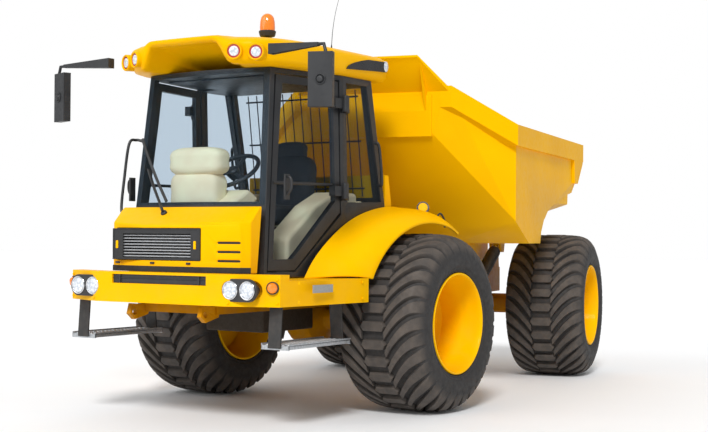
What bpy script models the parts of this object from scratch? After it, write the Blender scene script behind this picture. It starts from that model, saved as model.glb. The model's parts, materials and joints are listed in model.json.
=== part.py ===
"""Articulated dump truck: front unit with a cab, rear unit with a tipping body, real joints.

Metres, +Z up. The front unit looks along -Y and +X is its left side. Lengths are measured in two
working frames that both start on the ground under the front axle: the front unit's own frame, and
the rear unit's frame, which is the same frame until the rear unit swings about the centre pivot.
Each joint has an empty, and every piece hangs under the empty of the body it belongs to.
"""

from math import atan2, cos, hypot, pi, radians, sin

import bmesh
import bpy
from mathutils import Matrix, Vector

# Clearances
TOUCH = 0.0004          # between pieces that rest face to face
RUNNING = 0.0008        # between a pin or rod and what it turns or slides in
MOVING = 0.008          # between a moving piece and what it passes
EYE_GAP = 0.006         # beside a rod's eye, whose pivot is left open

# Wheels and axles
TYRE_RADIUS = 0.645
TYRE_WIDTH = 0.709
TYRE_TRACK = 1.930      # from tyre centre to tyre centre
RIM_RADIUS = 0.365      # over the flange
RIM_BARREL = 0.340
RIM_WIDTH = 0.670
RIM_WALL = 0.014
DISC_OFFSET = -0.045    # of the rim's disc from the tyre's centre, outwards
DISC_THICKNESS = 0.030
HUB_RADIUS = 0.150
HUB_RISE = 0.050
AXLE_HEIGHT = 0.620
WHEELBASE = 2.800
AXLE_TUBE_RADIUS = 0.090
AXLE_DRUM_RADIUS = 0.140
AXLE_DRUM_LENGTH = 0.220
AXLE_BULGE_RADIUS = 0.200
AXLE_BULGE_HALF = 0.170

# Centre pivot and rest pose
PIVOT_Y = 1.600
REST_STEER = radians(12.83)
ROLL_HEIGHT = 0.760     # of the lengthwise bearing between the two units

# Main frames
RAIL_SPREAD = 0.300     # from the centre line to the middle of a frame rail
RAIL_WIDTH = 0.080
RAIL_LOW = 0.720
RAIL_HIGH = 0.950
FRONT_RAIL_START = -1.560
FRONT_RAIL_END = 1.150
REAR_RAIL_START = 1.960
REAR_RAIL_END = 3.170
CROSS_THICKNESS = 0.060
PIVOT_EAR_RADIUS = 0.130
PIVOT_EAR_THICKNESS = 0.050
YOKE_HEIGHT = 0.240
YOKE_RADIUS = 0.105
YOKE_SHAFT_RADIUS = 0.080
BEARING_WALL = 0.045
BEARING_LENGTH = 0.180
TOW_LUG_SPREAD = 0.310
TOW_LUG_THICKNESS = 0.035

# Tipping body, in the rear unit's frame
BODY_HALF = 1.070
BODY_WALL = 0.012
BODY_FLOOR = 1.190
HEAD_Y = 0.400
HEAD_TOP = 2.410
HEAD_HALF = 0.610
HEAD_WAIST_Z = 2.040
HEAD_WAIST_HALF = 0.505
CORNER_Y = 0.800
CORNER_LOW = 1.366
SIDE_FOOT_Y = 1.260
PROW_Y = 1.060
PROW_HALF = 0.500
PROW_WIDE_Y = 1.180
PROW_WIDE_HALF = 0.870
SIDE_TIP_Y = 1.680
TAIL_Y = 3.430
TAIL_FLOOR = 1.950
TAIL_KNEE_Y = 3.160
TAIL_KNEE_Z = 1.750
TAIL_RISE_Y = 2.200
SIDE_TOP = 2.120
RAIL_CAP_PROUD = 0.030
RAIL_CAP_HEIGHT = 0.165
RAIL_CAP_DEPTH = 0.090
ARCH_INNER = 0.500
ARCH_INNER_TOP = 1.320
ARCH_TOP = 1.605
CANOPY_Y = 0.200
CANOPY_Z = 2.630
CANOPY_HALF = 0.440
CANOPY_PLATE = 0.016
GUSSET_X = 0.450
TIP_HINGE_Y = 3.050
TIP_HINGE_Z = 1.020
TIP_LUG_X = 0.200
TIP_LUG_THICKNESS = 0.040
TIP_EAR_RADIUS = 0.075
TIP_PIN_RADIUS = 0.030
TIP_TRAVEL = radians(70)

# Cylinders: one pair tips the body, one pair steers
TIP_CYLINDER_X = 0.450
TIP_FOOT = (1.860, 0.800)
TIP_HEAD = (2.620, 1.150)
TIP_BARREL_RADIUS = 0.058
TIP_ROD_RADIUS = 0.032
STEER_FOOT = (0.460, 0.860)
STEER_HEAD = (0.360, 1.690)
STEER_HEIGHT = 0.780
STEER_BARREL_RADIUS = 0.042
STEER_ROD_RADIUS = 0.024
CYLINDER_EYE_WIDTH = 0.050
EYE_PIN_RADIUS = 0.024

# Bumper, skirts and steps
BUMPER_LOW = 0.790
BUMPER_HIGH = 0.995
BUMPER_FRONT = -1.765
BUMPER_CORNER_Y = -1.635
BUMPER_HALF = 0.910
BUMPER_FLAT_HALF = 0.560
BUMPER_DEPTH = 0.140
BUMPER_WALL = 0.016
BUMPER_SLOT_HALF = 0.410
BUMPER_SLOT_LOW = 0.918
SKIRT_END_HALF = 0.975
SKIRT_END_Y = -0.700
SKIRT_HIGH = 0.955
SKIRT_THICKNESS = 0.030
DECK_THICKNESS = 0.020
LAMP_RADIUS = 0.062
LAMP_OUTER = 0.738
LAMP_INNER = 0.600
LAMP_HEIGHT = 0.895
LAMP_BRACKET_Y = -1.660
STEP_FRONT_Y = -1.560
STEP_REAR_Y = -0.920
STEP_TREAD_Z = 0.545
STEP_HALF = 0.910
STEP_STRAP_WIDTH = 0.090
STEP_STRAP = 0.012
STEP_DEPTH = 0.190

# Cowl and grille
COWL_HALF = 0.605
COWL_LOW = 0.9954
COWL_HIGH = 1.330
COWL_TOP = 1.436
COWL_FRONT = -1.640
COWL_SIDE_Y = -1.545
COWL_GAP = 0.002
GRILLE_LEFT = 0.255
GRILLE_RIGHT = -0.525
GRILLE_LOW = 1.075
GRILLE_HIGH = 1.288
GRILLE_DEPTH = 0.060

# Cab
CAB_FLOOR = 0.965
CAB_MOUNTS_Y = (-1.280, -0.080)
CAB_WALL = 0.045
CAB_TOP = 2.380
CAB_FRONT_HALF = 0.600
CAB_FRONT_TOP_HALF = 0.535
CAB_MID_HALF = 0.660
CAB_FRONT_Y = -1.400
CAB_FRONT_TOP_Y = -1.250
CAB_BULGE = 0.075
CAB_ARCH_X = 0.580      # inner side of the wheel arch in the cab's side
CAB_MID_Y = -0.530
CAB_MID_TOP_Y = -0.560
CAB_REAR_Y = 0.010
CAB_REAR_TOP_Y = -0.195
WAIST_Z = 1.440
GLASS = 0.008
DOOR_THICKNESS = 0.040
DOOR_GAP = 0.012
DOOR_FRAME = 0.055
DOOR_LOW = 1.010
DOOR_TOP = 2.335
DOOR_SIDE_LOW = 1.410
DOOR_STEP_Y = -1.080
DOOR_HINGE_OUT = 0.030
DOOR_HINGE_RADIUS = 0.014
DOOR_HINGE_HEIGHTS = (1.560, 2.180)
DOOR_KNUCKLE = 0.070
DOOR_TRAVEL = radians(70)

# Roof
ROOF_HALF = 0.720
ROOF_SIDE_LOW = 2.3805
ROOF_EDGE = 2.530
ROOF_CROWN = 2.590
ROOF_FRONT = -1.640
ROOF_CORNER_Y = -1.480
ROOF_REAR = 0.060
POD_INNER = 0.330
POD_LOW = 2.395
VISOR_LOW = 2.490

# Fenders
FENDER_ARCH = 0.715     # radius of the wheel arch about the axle
FENDER_INNER = CAB_MID_HALF + TOUCH
FENDER_CREST = 0.740
FENDER_END = radians(118)
FENDER_START = radians(27)

# Engine and its cover
COVER_WALL = 0.020
COVER_TOP = 1.700
COVER_BREAK_Y = 0.130   # where the slope drops to the shelf the body swings over
COVER_SHELF = 1.140
COVER_END_Y = 0.410
ENGINE_FRONT = -0.950
ENGINE_REAR = -0.340
ENGINE_LOW = 0.560

# Seat, console and steering wheel
SEAT_Y = -0.560
SEAT_Z = 1.300
SEAT_HALF = 0.250
WHEEL_CENTRE = (0.0, -1.000, 1.640)
WHEEL_RADIUS = 0.200
WHEEL_TUBE = 0.016
COLUMN_LENGTH = 0.120
COLUMN_TILT = radians(28)

# Masts and mirrors
MIRROR_CENTRE = (1.139, -1.527, 2.233)
MIRROR_SIZE = (0.160, 0.055, 0.350)
MIRROR_TOE = radians(20)
BEACON_AT = (0.300, -0.980)
ANTENNA_AT = (0.400, -0.330)
ANTENNA_TOP = 3.000

ROUND = 28
SMALL_ROUND = 12
LEFT, RIGHT = 1, -1
SIDE_NAME = {LEFT: "left", RIGHT: "right"}


# ---------------------------------------------------------------- scene helpers

def clear_scene():
    """Remove every object of the starting scene."""
    for obj in list(bpy.data.objects):
        bpy.data.objects.remove(obj, do_unlink=True)


def make_material(name, color, roughness, metallic=0.0, alpha=1.0):
    """A Principled material with one plain colour."""
    material = bpy.data.materials.new(name)
    material.use_nodes = True
    shader = material.node_tree.nodes["Principled BSDF"]
    shader.inputs["Base Color"].default_value = (*color, 1.0)
    shader.inputs["Roughness"].default_value = roughness
    shader.inputs["Metallic"].default_value = metallic
    shader.inputs["Alpha"].default_value = alpha
    return material


class Joint:
    """An empty on a joint, given by its point in the frame of the unit it belongs to."""

    def __init__(self, name, point, parent=None, turn=0.0):
        self.point = Vector(point)
        self.empty = bpy.data.objects.new(name, None)
        self.empty.empty_display_size = 0.1
        bpy.context.scene.collection.objects.link(self.empty)
        if parent:
            self.empty.parent = parent.empty
            self.empty.location = self.point - parent.point
        else:
            self.empty.location = self.point
        self.empty.rotation_euler[2] = turn


def mesh_object(name, bm):
    """An object that holds this bmesh, with its normals facing outwards."""
    bmesh.ops.recalc_face_normals(bm, faces=bm.faces)
    mesh = bpy.data.meshes.new(name)
    bm.to_mesh(mesh)
    bm.free()
    obj = bpy.data.objects.new(name, mesh)
    bpy.context.scene.collection.objects.link(obj)
    return obj


def combine(obj, others, operation):
    """Apply an exact Boolean of each of the other objects to this one, and remove them."""
    for other in others:
        modifier = obj.modifiers.new(operation.lower(), "BOOLEAN")
        modifier.operation = operation
        modifier.solver = "EXACT"
        modifier.object = other
    graph = bpy.context.evaluated_depsgraph_get()
    result = bpy.data.meshes.new_from_object(obj.evaluated_get(graph))
    obj.modifiers.clear()
    obj.data = result
    for other in others:
        bpy.data.objects.remove(other, do_unlink=True)
    return obj


def join_solids(name, parts):
    """One solid from parts that overlap each other."""
    first = mesh_object(name, parts[0])
    return combine(first, [mesh_object(name + "_part", part) for part in parts[1:]], "UNION")


def cut(obj, cutters):
    """Take these solids away from the object."""
    return combine(obj, [mesh_object(obj.name + "_cutter", cutter) for cutter in cutters], "DIFFERENCE")


def finish(obj, joint, material, smooth=False):
    """Hang the object under its joint's empty, with its origin on the joint."""
    obj.data.transform(Matrix.Translation(-joint.point))
    obj.parent = joint.empty
    obj.data.materials.clear()
    obj.data.materials.append(material)
    if smooth:
        obj.data.shade_smooth()
        obj.data.set_sharp_from_angle(angle=radians(35))
    return obj


# ---------------------------------------------------------------- solid makers

def loft(sections):
    """A closed solid through loops of points with equal counts, capped at both ends."""
    bm = bmesh.new()
    rings = [[bm.verts.new(point) for point in section] for section in sections]
    for near, far in zip(rings, rings[1:]):
        for i in range(len(near)):
            j = (i + 1) % len(near)
            bm.faces.new((near[i], near[j], far[j], far[i]))
    bm.faces.new(rings[0])
    bm.faces.new(rings[-1])
    bmesh.ops.triangulate(bm, faces=bm.faces, quad_method="FIXED", ngon_method="BEAUTY")
    return bm


def prism(outline, axis, start, end):
    """An outline of two coordinates, carried from start to end along X, Y or Z."""
    place = {
        "X": lambda a, b, along: (along, a, b),
        "Y": lambda a, b, along: (a, along, b),
        "Z": lambda a, b, along: (a, b, along),
    }[axis]
    return loft([[place(a, b, along) for a, b in outline] for along in (start, end)])


def box(low, high):
    """A box between two corners, given in any order."""
    (x0, y0, z0), (x1, y1, z1) = low, high
    return prism([(x0, y0), (x1, y0), (x1, y1), (x0, y1)], "Z", z0, z1)


def hull(points):
    """The convex solid around the points."""
    bm = bmesh.new()
    for point in points:
        bm.verts.new(point)
    made = bmesh.ops.convex_hull(bm, input=bm.verts)
    inside = [item for item in made["geom_interior"] if isinstance(item, bmesh.types.BMVert)]
    bmesh.ops.delete(bm, geom=inside, context="VERTS")
    bmesh.ops.triangulate(bm, faces=bm.faces)
    return bm


def rod(start, end, radius, sides=SMALL_ROUND, end_radius=None):
    """A round bar between two points, tapered if its far radius differs."""
    start, end = Vector(start), Vector(end)
    turn = (end - start).to_track_quat("Z", "Y").to_matrix()
    rings = []
    for centre, size in ((start, radius), (end, end_radius or radius)):
        ring = [turn @ Vector((size * cos(2 * pi * i / sides), size * sin(2 * pi * i / sides), 0))
                for i in range(sides)]
        rings.append([centre + point for point in ring])
    return loft(rings)


def lathe(profile, centre, axis="X", sides=ROUND):
    """Turn a closed outline of (along, radius) about an axis through the centre."""
    bm = bmesh.new()
    cx, cy, cz = centre
    rings = []
    for along, radius in profile:
        if radius < 1e-6:
            rings.append([bm.verts.new(turned(cx, cy, cz, along, 0.0, 0.0, axis))])
            continue
        ring = []
        for i in range(sides):
            angle = 2 * pi * i / sides
            ring.append(bm.verts.new(turned(cx, cy, cz, along, radius * cos(angle), radius * sin(angle), axis)))
        rings.append(ring)
    for near, far in zip(rings, rings[1:] + rings[:1]):
        for i in range(sides):
            j = (i + 1) % sides
            if len(near) == 1 and len(far) == 1:
                break
            if len(near) == 1:
                bm.faces.new((near[0], far[j], far[i]))
            elif len(far) == 1:
                bm.faces.new((near[i], near[j], far[0]))
            else:
                bm.faces.new((near[i], near[j], far[j], far[i]))
    bmesh.ops.triangulate(bm, faces=bm.faces, quad_method="FIXED")
    return bm


def turned(cx, cy, cz, along, first, second, axis):
    """A point at a distance along an axis and two distances across it."""
    if axis == "X":
        return (cx + along, cy + first, cz + second)
    if axis == "Y":
        return (cx + first, cy + along, cz + second)
    return (cx + first, cy + second, cz + along)


def bent_tube(path, radius, sides=8):
    """A round tube that follows a path of points, mitred at its bends."""
    path = [Vector(point) for point in path]
    rings = []
    side = None
    for i, point in enumerate(path):
        before = (point - path[i - 1]).normalized() if i else None
        after = (path[i + 1] - point).normalized() if i + 1 < len(path) else None
        along = ((before or after) + (after or before)).normalized()
        if side is None:
            side = along.orthogonal().normalized()
        side = (side - along * side.dot(along)).normalized()
        other = along.cross(side)
        rings.append([point + radius * (cos(2 * pi * k / sides) * side + sin(2 * pi * k / sides) * other)
                      for k in range(sides)])
    return loft(rings)


def mirrored(points, side):
    """The points on the left side, or the same points on the right."""
    return [(side * x, y, z) for x, y, z in points]


def both(points):
    """The points and their mirror images."""
    return mirrored(points, LEFT) + mirrored(points, RIGHT)


def between(start, end, share):
    """A value a share of the way from start to end."""
    return start + (end - start) * share


# ---------------------------------------------------------------- wheels and axles

def rim_profile(side):
    """Outline of a deep rim with an offset disc: distance from the tyre's centre, and radius."""
    half = RIM_WIDTH / 2
    disc = DISC_OFFSET
    inside = RIM_BARREL - RIM_WALL
    outline = [
        (disc + HUB_RISE, 0.0), (disc + HUB_RISE, HUB_RADIUS - 0.02), (disc + DISC_THICKNESS / 2, HUB_RADIUS),
        (disc + DISC_THICKNESS / 2, inside - 0.03), (disc + 0.05, inside), (half, inside + 0.004),
        (half, RIM_RADIUS), (half - 0.020, RIM_RADIUS), (half - 0.040, RIM_BARREL),
        (0.040 - half, RIM_BARREL), (0.020 - half, RIM_RADIUS), (-half, RIM_RADIUS),
        (-half, inside + 0.004), (disc - 0.05, inside), (disc - DISC_THICKNESS / 2, inside - 0.03),
        (disc - DISC_THICKNESS / 2, 0.0),
    ]
    return [(side * along, radius) for along, radius in outline]


def tyre_profile():
    """Outline of a wide flotation tyre, solid inside, from its bead to its tread."""
    half = TYRE_WIDTH / 2
    bead = RIM_WIDTH / 2 - 0.044
    rise = TYRE_RADIUS - RIM_BARREL
    right = [
        (bead, RIM_BARREL + TOUCH), (bead + 0.014, RIM_RADIUS + 0.004), (half - 0.030, RIM_RADIUS + 0.030),
        (half, RIM_BARREL + 0.46 * rise), (half - 0.022, TYRE_RADIUS - 0.050),
        (half - 0.085, TYRE_RADIUS - 0.006), (0.16, TYRE_RADIUS),
    ]
    return right + [(-along, radius) for along, radius in reversed(right)]


def build_wheel(end, side, joint, rim_paint, rubber):
    """One rim and its tyre, centred on the joint's point."""
    name = f"{end}_{SIDE_NAME[side]}"
    rim = mesh_object("rim_" + name, lathe(rim_profile(side), joint.point))
    finish(rim, joint, rim_paint, smooth=True)
    tyre = mesh_object("tyre_" + name, lathe(tyre_profile(), joint.point))
    finish(tyre, joint, rubber, smooth=True)


def build_axle(name, y, joint, material):
    """A drive axle: tube, round middle housing, hub drums, and a pad under each frame rail."""
    drum_end = TYRE_TRACK / 2 + DISC_OFFSET - DISC_THICKNESS / 2 - TOUCH
    drum_start = drum_end - AXLE_DRUM_LENGTH
    outline = [
        (drum_end, 0.0), (drum_end, AXLE_DRUM_RADIUS), (drum_start, AXLE_DRUM_RADIUS),
        (drum_start - 0.03, AXLE_TUBE_RADIUS), (AXLE_BULGE_HALF, AXLE_TUBE_RADIUS),
        (AXLE_BULGE_HALF * 0.6, AXLE_BULGE_RADIUS),
    ]
    profile = outline + [(-along, radius) for along, radius in reversed(outline)]
    parts = [lathe(profile, (0, y, AXLE_HEIGHT), sides=20)]
    for side in (LEFT, RIGHT):
        middle = side * RAIL_SPREAD
        parts.append(box((middle - 0.035, y - 0.07, AXLE_HEIGHT), (middle + 0.035, y + 0.07, RAIL_LOW - TOUCH)))
    axle = join_solids(name, parts)
    finish(axle, joint, material, smooth=True)


# ---------------------------------------------------------------- frames and centre pivot

def frame_rails(start, end):
    """The two box rails of a frame."""
    parts = []
    for side in (LEFT, RIGHT):
        middle = side * RAIL_SPREAD
        parts.append(box((middle - RAIL_WIDTH / 2, start, RAIL_LOW), (middle + RAIL_WIDTH / 2, end, RAIL_HIGH)))
    return parts


def cross_member(y, low, high, half=RAIL_SPREAD, depth=CROSS_THICKNESS):
    """A plate or beam across a frame."""
    return box((-half, y - depth / 2, low), (half, y + depth / 2, high))


def build_front_frame(joint, material):
    """Rails, cross members, pivot ears, cylinder pins and tow lugs of the front unit."""
    ear_tops = (ROLL_HEIGHT + YOKE_HEIGHT / 2 + TOUCH, ROLL_HEIGHT - YOKE_HEIGHT / 2 - TOUCH - PIVOT_EAR_THICKNESS)
    parts = frame_rails(FRONT_RAIL_START, FRONT_RAIL_END)
    parts.append(cross_member(FRONT_RAIL_START + 0.03, RAIL_LOW, RAIL_HIGH))
    parts.append(cross_member(-0.22, RAIL_LOW + 0.02, RAIL_HIGH - 0.02))
    end_low, end_high = ear_tops[1] - 0.02, ear_tops[0] + PIVOT_EAR_THICKNESS + 0.02
    parts.append(cross_member(FRONT_RAIL_END, end_low, end_high, RAIL_SPREAD + RAIL_WIDTH / 2))
    for low in ear_tops:
        high = low + PIVOT_EAR_THICKNESS
        parts.append(prism([(-0.24, FRONT_RAIL_END), (0.24, FRONT_RAIL_END), (0.10, PIVOT_Y), (-0.10, PIVOT_Y)],
                           "Z", low, high))
        parts.append(rod((0, PIVOT_Y, low), (0, PIVOT_Y, high), PIVOT_EAR_RADIUS, 20))
    for side in (LEFT, RIGHT):
        foot_x, foot_y = STEER_FOOT
        reach = STEER_HEIGHT - STEER_BARREL_RADIUS - 0.002 - TOUCH
        inner = RAIL_SPREAD
        parts.append(box((side * inner, foot_y - 0.05, reach - 0.03), (side * (foot_x + 0.05), foot_y + 0.05, reach)))
        parts.append(rod((side * foot_x, foot_y, reach - 0.01),
                         (side * foot_x, foot_y, STEER_HEIGHT + STEER_BARREL_RADIUS + 0.01), EYE_PIN_RADIUS))
        lug_x = side * TOW_LUG_SPREAD
        lug = [(FRONT_RAIL_START, RAIL_LOW + 0.05), (FRONT_RAIL_START - 0.13, BUMPER_LOW - 0.01),
               (FRONT_RAIL_START - 0.15, BUMPER_LOW - 0.08), (FRONT_RAIL_START - 0.10, BUMPER_LOW - 0.12),
               (FRONT_RAIL_START + 0.03, RAIL_LOW - 0.02), (FRONT_RAIL_START + 0.05, RAIL_LOW + 0.03)]
        parts.append(prism(lug, "X", lug_x - TOW_LUG_THICKNESS / 2, lug_x + TOW_LUG_THICKNESS / 2))
        parts.append(box((side * RAIL_SPREAD, -1.20, RAIL_LOW + 0.06),
                         (side * (BUMPER_HALF - SKIRT_THICKNESS - 0.02), -1.12, RAIL_HIGH - 0.09)))
        parts.append(box((side * RAIL_SPREAD - 0.05, BUMPER_FRONT + BUMPER_DEPTH + TOUCH, RAIL_LOW + 0.08),
                         (side * RAIL_SPREAD + 0.05, FRONT_RAIL_START + 0.08, RAIL_HIGH - 0.02)))
        for mount_y in CAB_MOUNTS_Y:
            parts.append(box((side * RAIL_SPREAD - 0.03, mount_y - 0.05, RAIL_HIGH - 0.01),
                             (side * RAIL_SPREAD + 0.03, mount_y + 0.05, CAB_FLOOR - TOUCH)))
    frame = join_solids("front_frame", parts)
    eye_y, eye_z = FRONT_RAIL_START - 0.105, BUMPER_LOW - 0.068
    cut(frame, [rod((-1, eye_y, eye_z), (1, eye_y, eye_z), 0.022)])
    finish(frame, joint, material)


def build_yoke(joint, material):
    """The centre pivot: an upright block between the front ears and a shaft to the rear frame."""
    low, high = ROLL_HEIGHT - YOKE_HEIGHT / 2, ROLL_HEIGHT + YOKE_HEIGHT / 2
    collar = REAR_RAIL_START + BEARING_LENGTH / 2 + TOUCH
    parts = [rod((0, PIVOT_Y, low), (0, PIVOT_Y, high), YOKE_RADIUS, 20)]
    parts.append(rod((0, PIVOT_Y, ROLL_HEIGHT), (0, collar + 0.02, ROLL_HEIGHT), YOKE_SHAFT_RADIUS, 20))
    parts.append(rod((0, collar, ROLL_HEIGHT), (0, collar + 0.03, ROLL_HEIGHT), YOKE_SHAFT_RADIUS + 0.03, 20))
    head_x, head_y = STEER_HEAD
    gap = CYLINDER_EYE_WIDTH / 2 + EYE_GAP
    for low in (STEER_HEIGHT - gap - 0.02, STEER_HEIGHT + gap):
        parts.append(prism([(-head_x - 0.05, head_y - 0.05), (head_x + 0.05, head_y - 0.05),
                            (head_x + 0.05, head_y + 0.05), (-head_x - 0.05, head_y + 0.05)], "Z", low, low + 0.02))
    yoke = join_solids("articulation_yoke", parts)
    finish(yoke, joint, material)


def build_rear_frame(joint, material):
    """Rails, bearing, cross members, tip hinge ears and cylinder pins of the rear unit."""
    bearing_start = REAR_RAIL_START - BEARING_LENGTH / 2
    bearing_end = REAR_RAIL_START + BEARING_LENGTH / 2
    ring = YOKE_SHAFT_RADIUS / cos(pi / 20) + RUNNING
    parts = frame_rails(REAR_RAIL_START, REAR_RAIL_END)
    parts.append(cross_member(REAR_RAIL_START + 0.03, RAIL_LOW - 0.09, RAIL_HIGH))
    parts.append(cross_member(REAR_RAIL_END - 0.03, RAIL_LOW, RAIL_HIGH))
    parts.append(cross_member(2.45, RAIL_LOW + 0.03, RAIL_HIGH - 0.03))
    parts.append(rod((0, bearing_start, ROLL_HEIGHT), (0, bearing_end, ROLL_HEIGHT), ring + BEARING_WALL, 20))
    foot_y, foot_z = TIP_FOOT
    for side in (LEFT, RIGHT):
        inner = side * (TIP_LUG_X + TIP_LUG_THICKNESS / 2 + TOUCH)
        outer = side * (RAIL_SPREAD + RAIL_WIDTH / 2)
        ear = [(TIP_HINGE_Y - 0.13, RAIL_HIGH - 0.08), (TIP_HINGE_Y - TIP_EAR_RADIUS, TIP_HINGE_Z + 0.03),
               (TIP_HINGE_Y, TIP_HINGE_Z + TIP_EAR_RADIUS), (TIP_HINGE_Y + TIP_EAR_RADIUS, TIP_HINGE_Z + 0.03),
               (TIP_HINGE_Y + 0.10, RAIL_HIGH - 0.08)]
        parts.append(prism(ear, "X", inner, outer))
        rail_inner, rail_outer = RAIL_SPREAD - RAIL_WIDTH / 2, RAIL_SPREAD + RAIL_WIDTH / 2
        eye_inner = TIP_CYLINDER_X - TIP_BARREL_RADIUS - 0.002 - TOUCH
        parts.append(box((side * rail_inner, foot_y - 0.045, foot_z - 0.06),
                         (side * rail_outer, REAR_RAIL_START + 0.01, foot_z + 0.08)))
        parts.append(rod((side * (rail_outer - 0.01), foot_y, foot_z), (side * eye_inner, foot_y, foot_z), 0.045))
        parts.append(rod((side * (eye_inner - 0.01), foot_y, foot_z),
                         (side * (TIP_CYLINDER_X + TIP_BARREL_RADIUS + 0.012), foot_y, foot_z), EYE_PIN_RADIUS))
    frame = join_solids("rear_frame", parts)
    cut(frame, [rod((0, bearing_start - 0.1, ROLL_HEIGHT), (0, bearing_end + 0.1, ROLL_HEIGHT), ring, 20)])
    finish(frame, joint, material)


# ---------------------------------------------------------------- tipping body

def body_points(inset):
    """Corners of the body's left half. An inset above zero gives its inside, open at the top and tail."""
    top = 1.0 if inset else 0.0
    run = 0.20 if inset else 0.0
    slope = (TAIL_FLOOR - TAIL_KNEE_Z) / (TAIL_Y - TAIL_KNEE_Y)
    front, side, floor = HEAD_Y + inset, BODY_HALF - inset, BODY_FLOOR + inset
    lean = inset * 1.4
    return [
        (HEAD_HALF - inset, front, HEAD_TOP + top),
        (HEAD_WAIST_HALF - inset, front, HEAD_WAIST_Z + inset * 0.4),
        (side, CORNER_Y + inset, SIDE_TOP + top),
        (side, TAIL_Y + run, SIDE_TOP + top),
        (side, CORNER_Y + inset, CORNER_LOW + inset * 0.4),
        (side, SIDE_FOOT_Y + inset, floor),
        (side, SIDE_TIP_Y, floor),
        (PROW_WIDE_HALF - inset, PROW_WIDE_Y + inset, floor),
        (PROW_HALF - inset, PROW_Y + inset, floor),
        (side, TAIL_RISE_Y, floor + inset * 0.2),
        (side, TAIL_KNEE_Y, TAIL_KNEE_Z + lean),
        (side, TAIL_Y + run, TAIL_FLOOR + lean + run * slope),
    ]


def floor_z(y):
    """The height of the floor's underside, which rises to the tail behind the knee."""
    share = (y - TAIL_RISE_Y) / (TAIL_KNEE_Y - TAIL_RISE_Y)
    return between(BODY_FLOOR, TAIL_KNEE_Z, max(share, 0.0))


def wheel_arch(side, inset):
    """What a rear wheel arch takes from the body: a curved front, a level top and a sloping shoulder."""
    rise = ARCH_TOP - BODY_FLOOR
    curve = [(SIDE_TIP_Y, BODY_FLOOR - 0.30), (SIDE_TIP_Y, BODY_FLOOR)]
    for share in (0.2, 0.4, 0.6, 0.8, 1.0):
        angle = share * pi / 2
        curve.append((SIDE_TIP_Y + 0.75 * (1 - cos(angle)) ** 0.9, BODY_FLOOR + rise * sin(angle)))
    curve += [(2.815, ARCH_TOP), (2.830, TAIL_KNEE_Z - 0.03), (TAIL_KNEE_Y, TAIL_KNEE_Z), (3.70, TAIL_KNEE_Z),
              (3.70, BODY_FLOOR - 0.30)]
    inner_rise = (ARCH_INNER_TOP - BODY_FLOOR) / rise
    sections = []
    for x, share in ((ARCH_INNER - inset, inner_rise), (BODY_HALF + 0.15, 1.0)):
        section = []
        for y, z in curve:
            level = BODY_FLOOR + (z - BODY_FLOOR) * share + inset * 1.3 if z > BODY_FLOOR else z
            section.append((side * x, y - inset if y < 2.0 else y, level))
        sections.append(section)
    return loft(sections)


def rail_cap(side):
    """The box section along the top edge of one side of the body."""
    outer = BODY_HALF + RAIL_CAP_PROUD
    front_outer = HEAD_HALF + RAIL_CAP_PROUD + 0.015
    stations = [(front_outer, HEAD_Y - TOUCH, HEAD_TOP), (outer, CORNER_Y - 0.06, SIDE_TOP + 0.005),
                (outer, TAIL_Y, SIDE_TOP + 0.015)]
    sections = []
    for x, y, top in stations:
        sections.append([(side * x, y, top), (side * (x - RAIL_CAP_DEPTH), y, top),
                         (side * (x - RAIL_CAP_DEPTH), y, top - RAIL_CAP_HEIGHT), (side * x, y, top - RAIL_CAP_HEIGHT)])
    return loft(sections)


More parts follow.
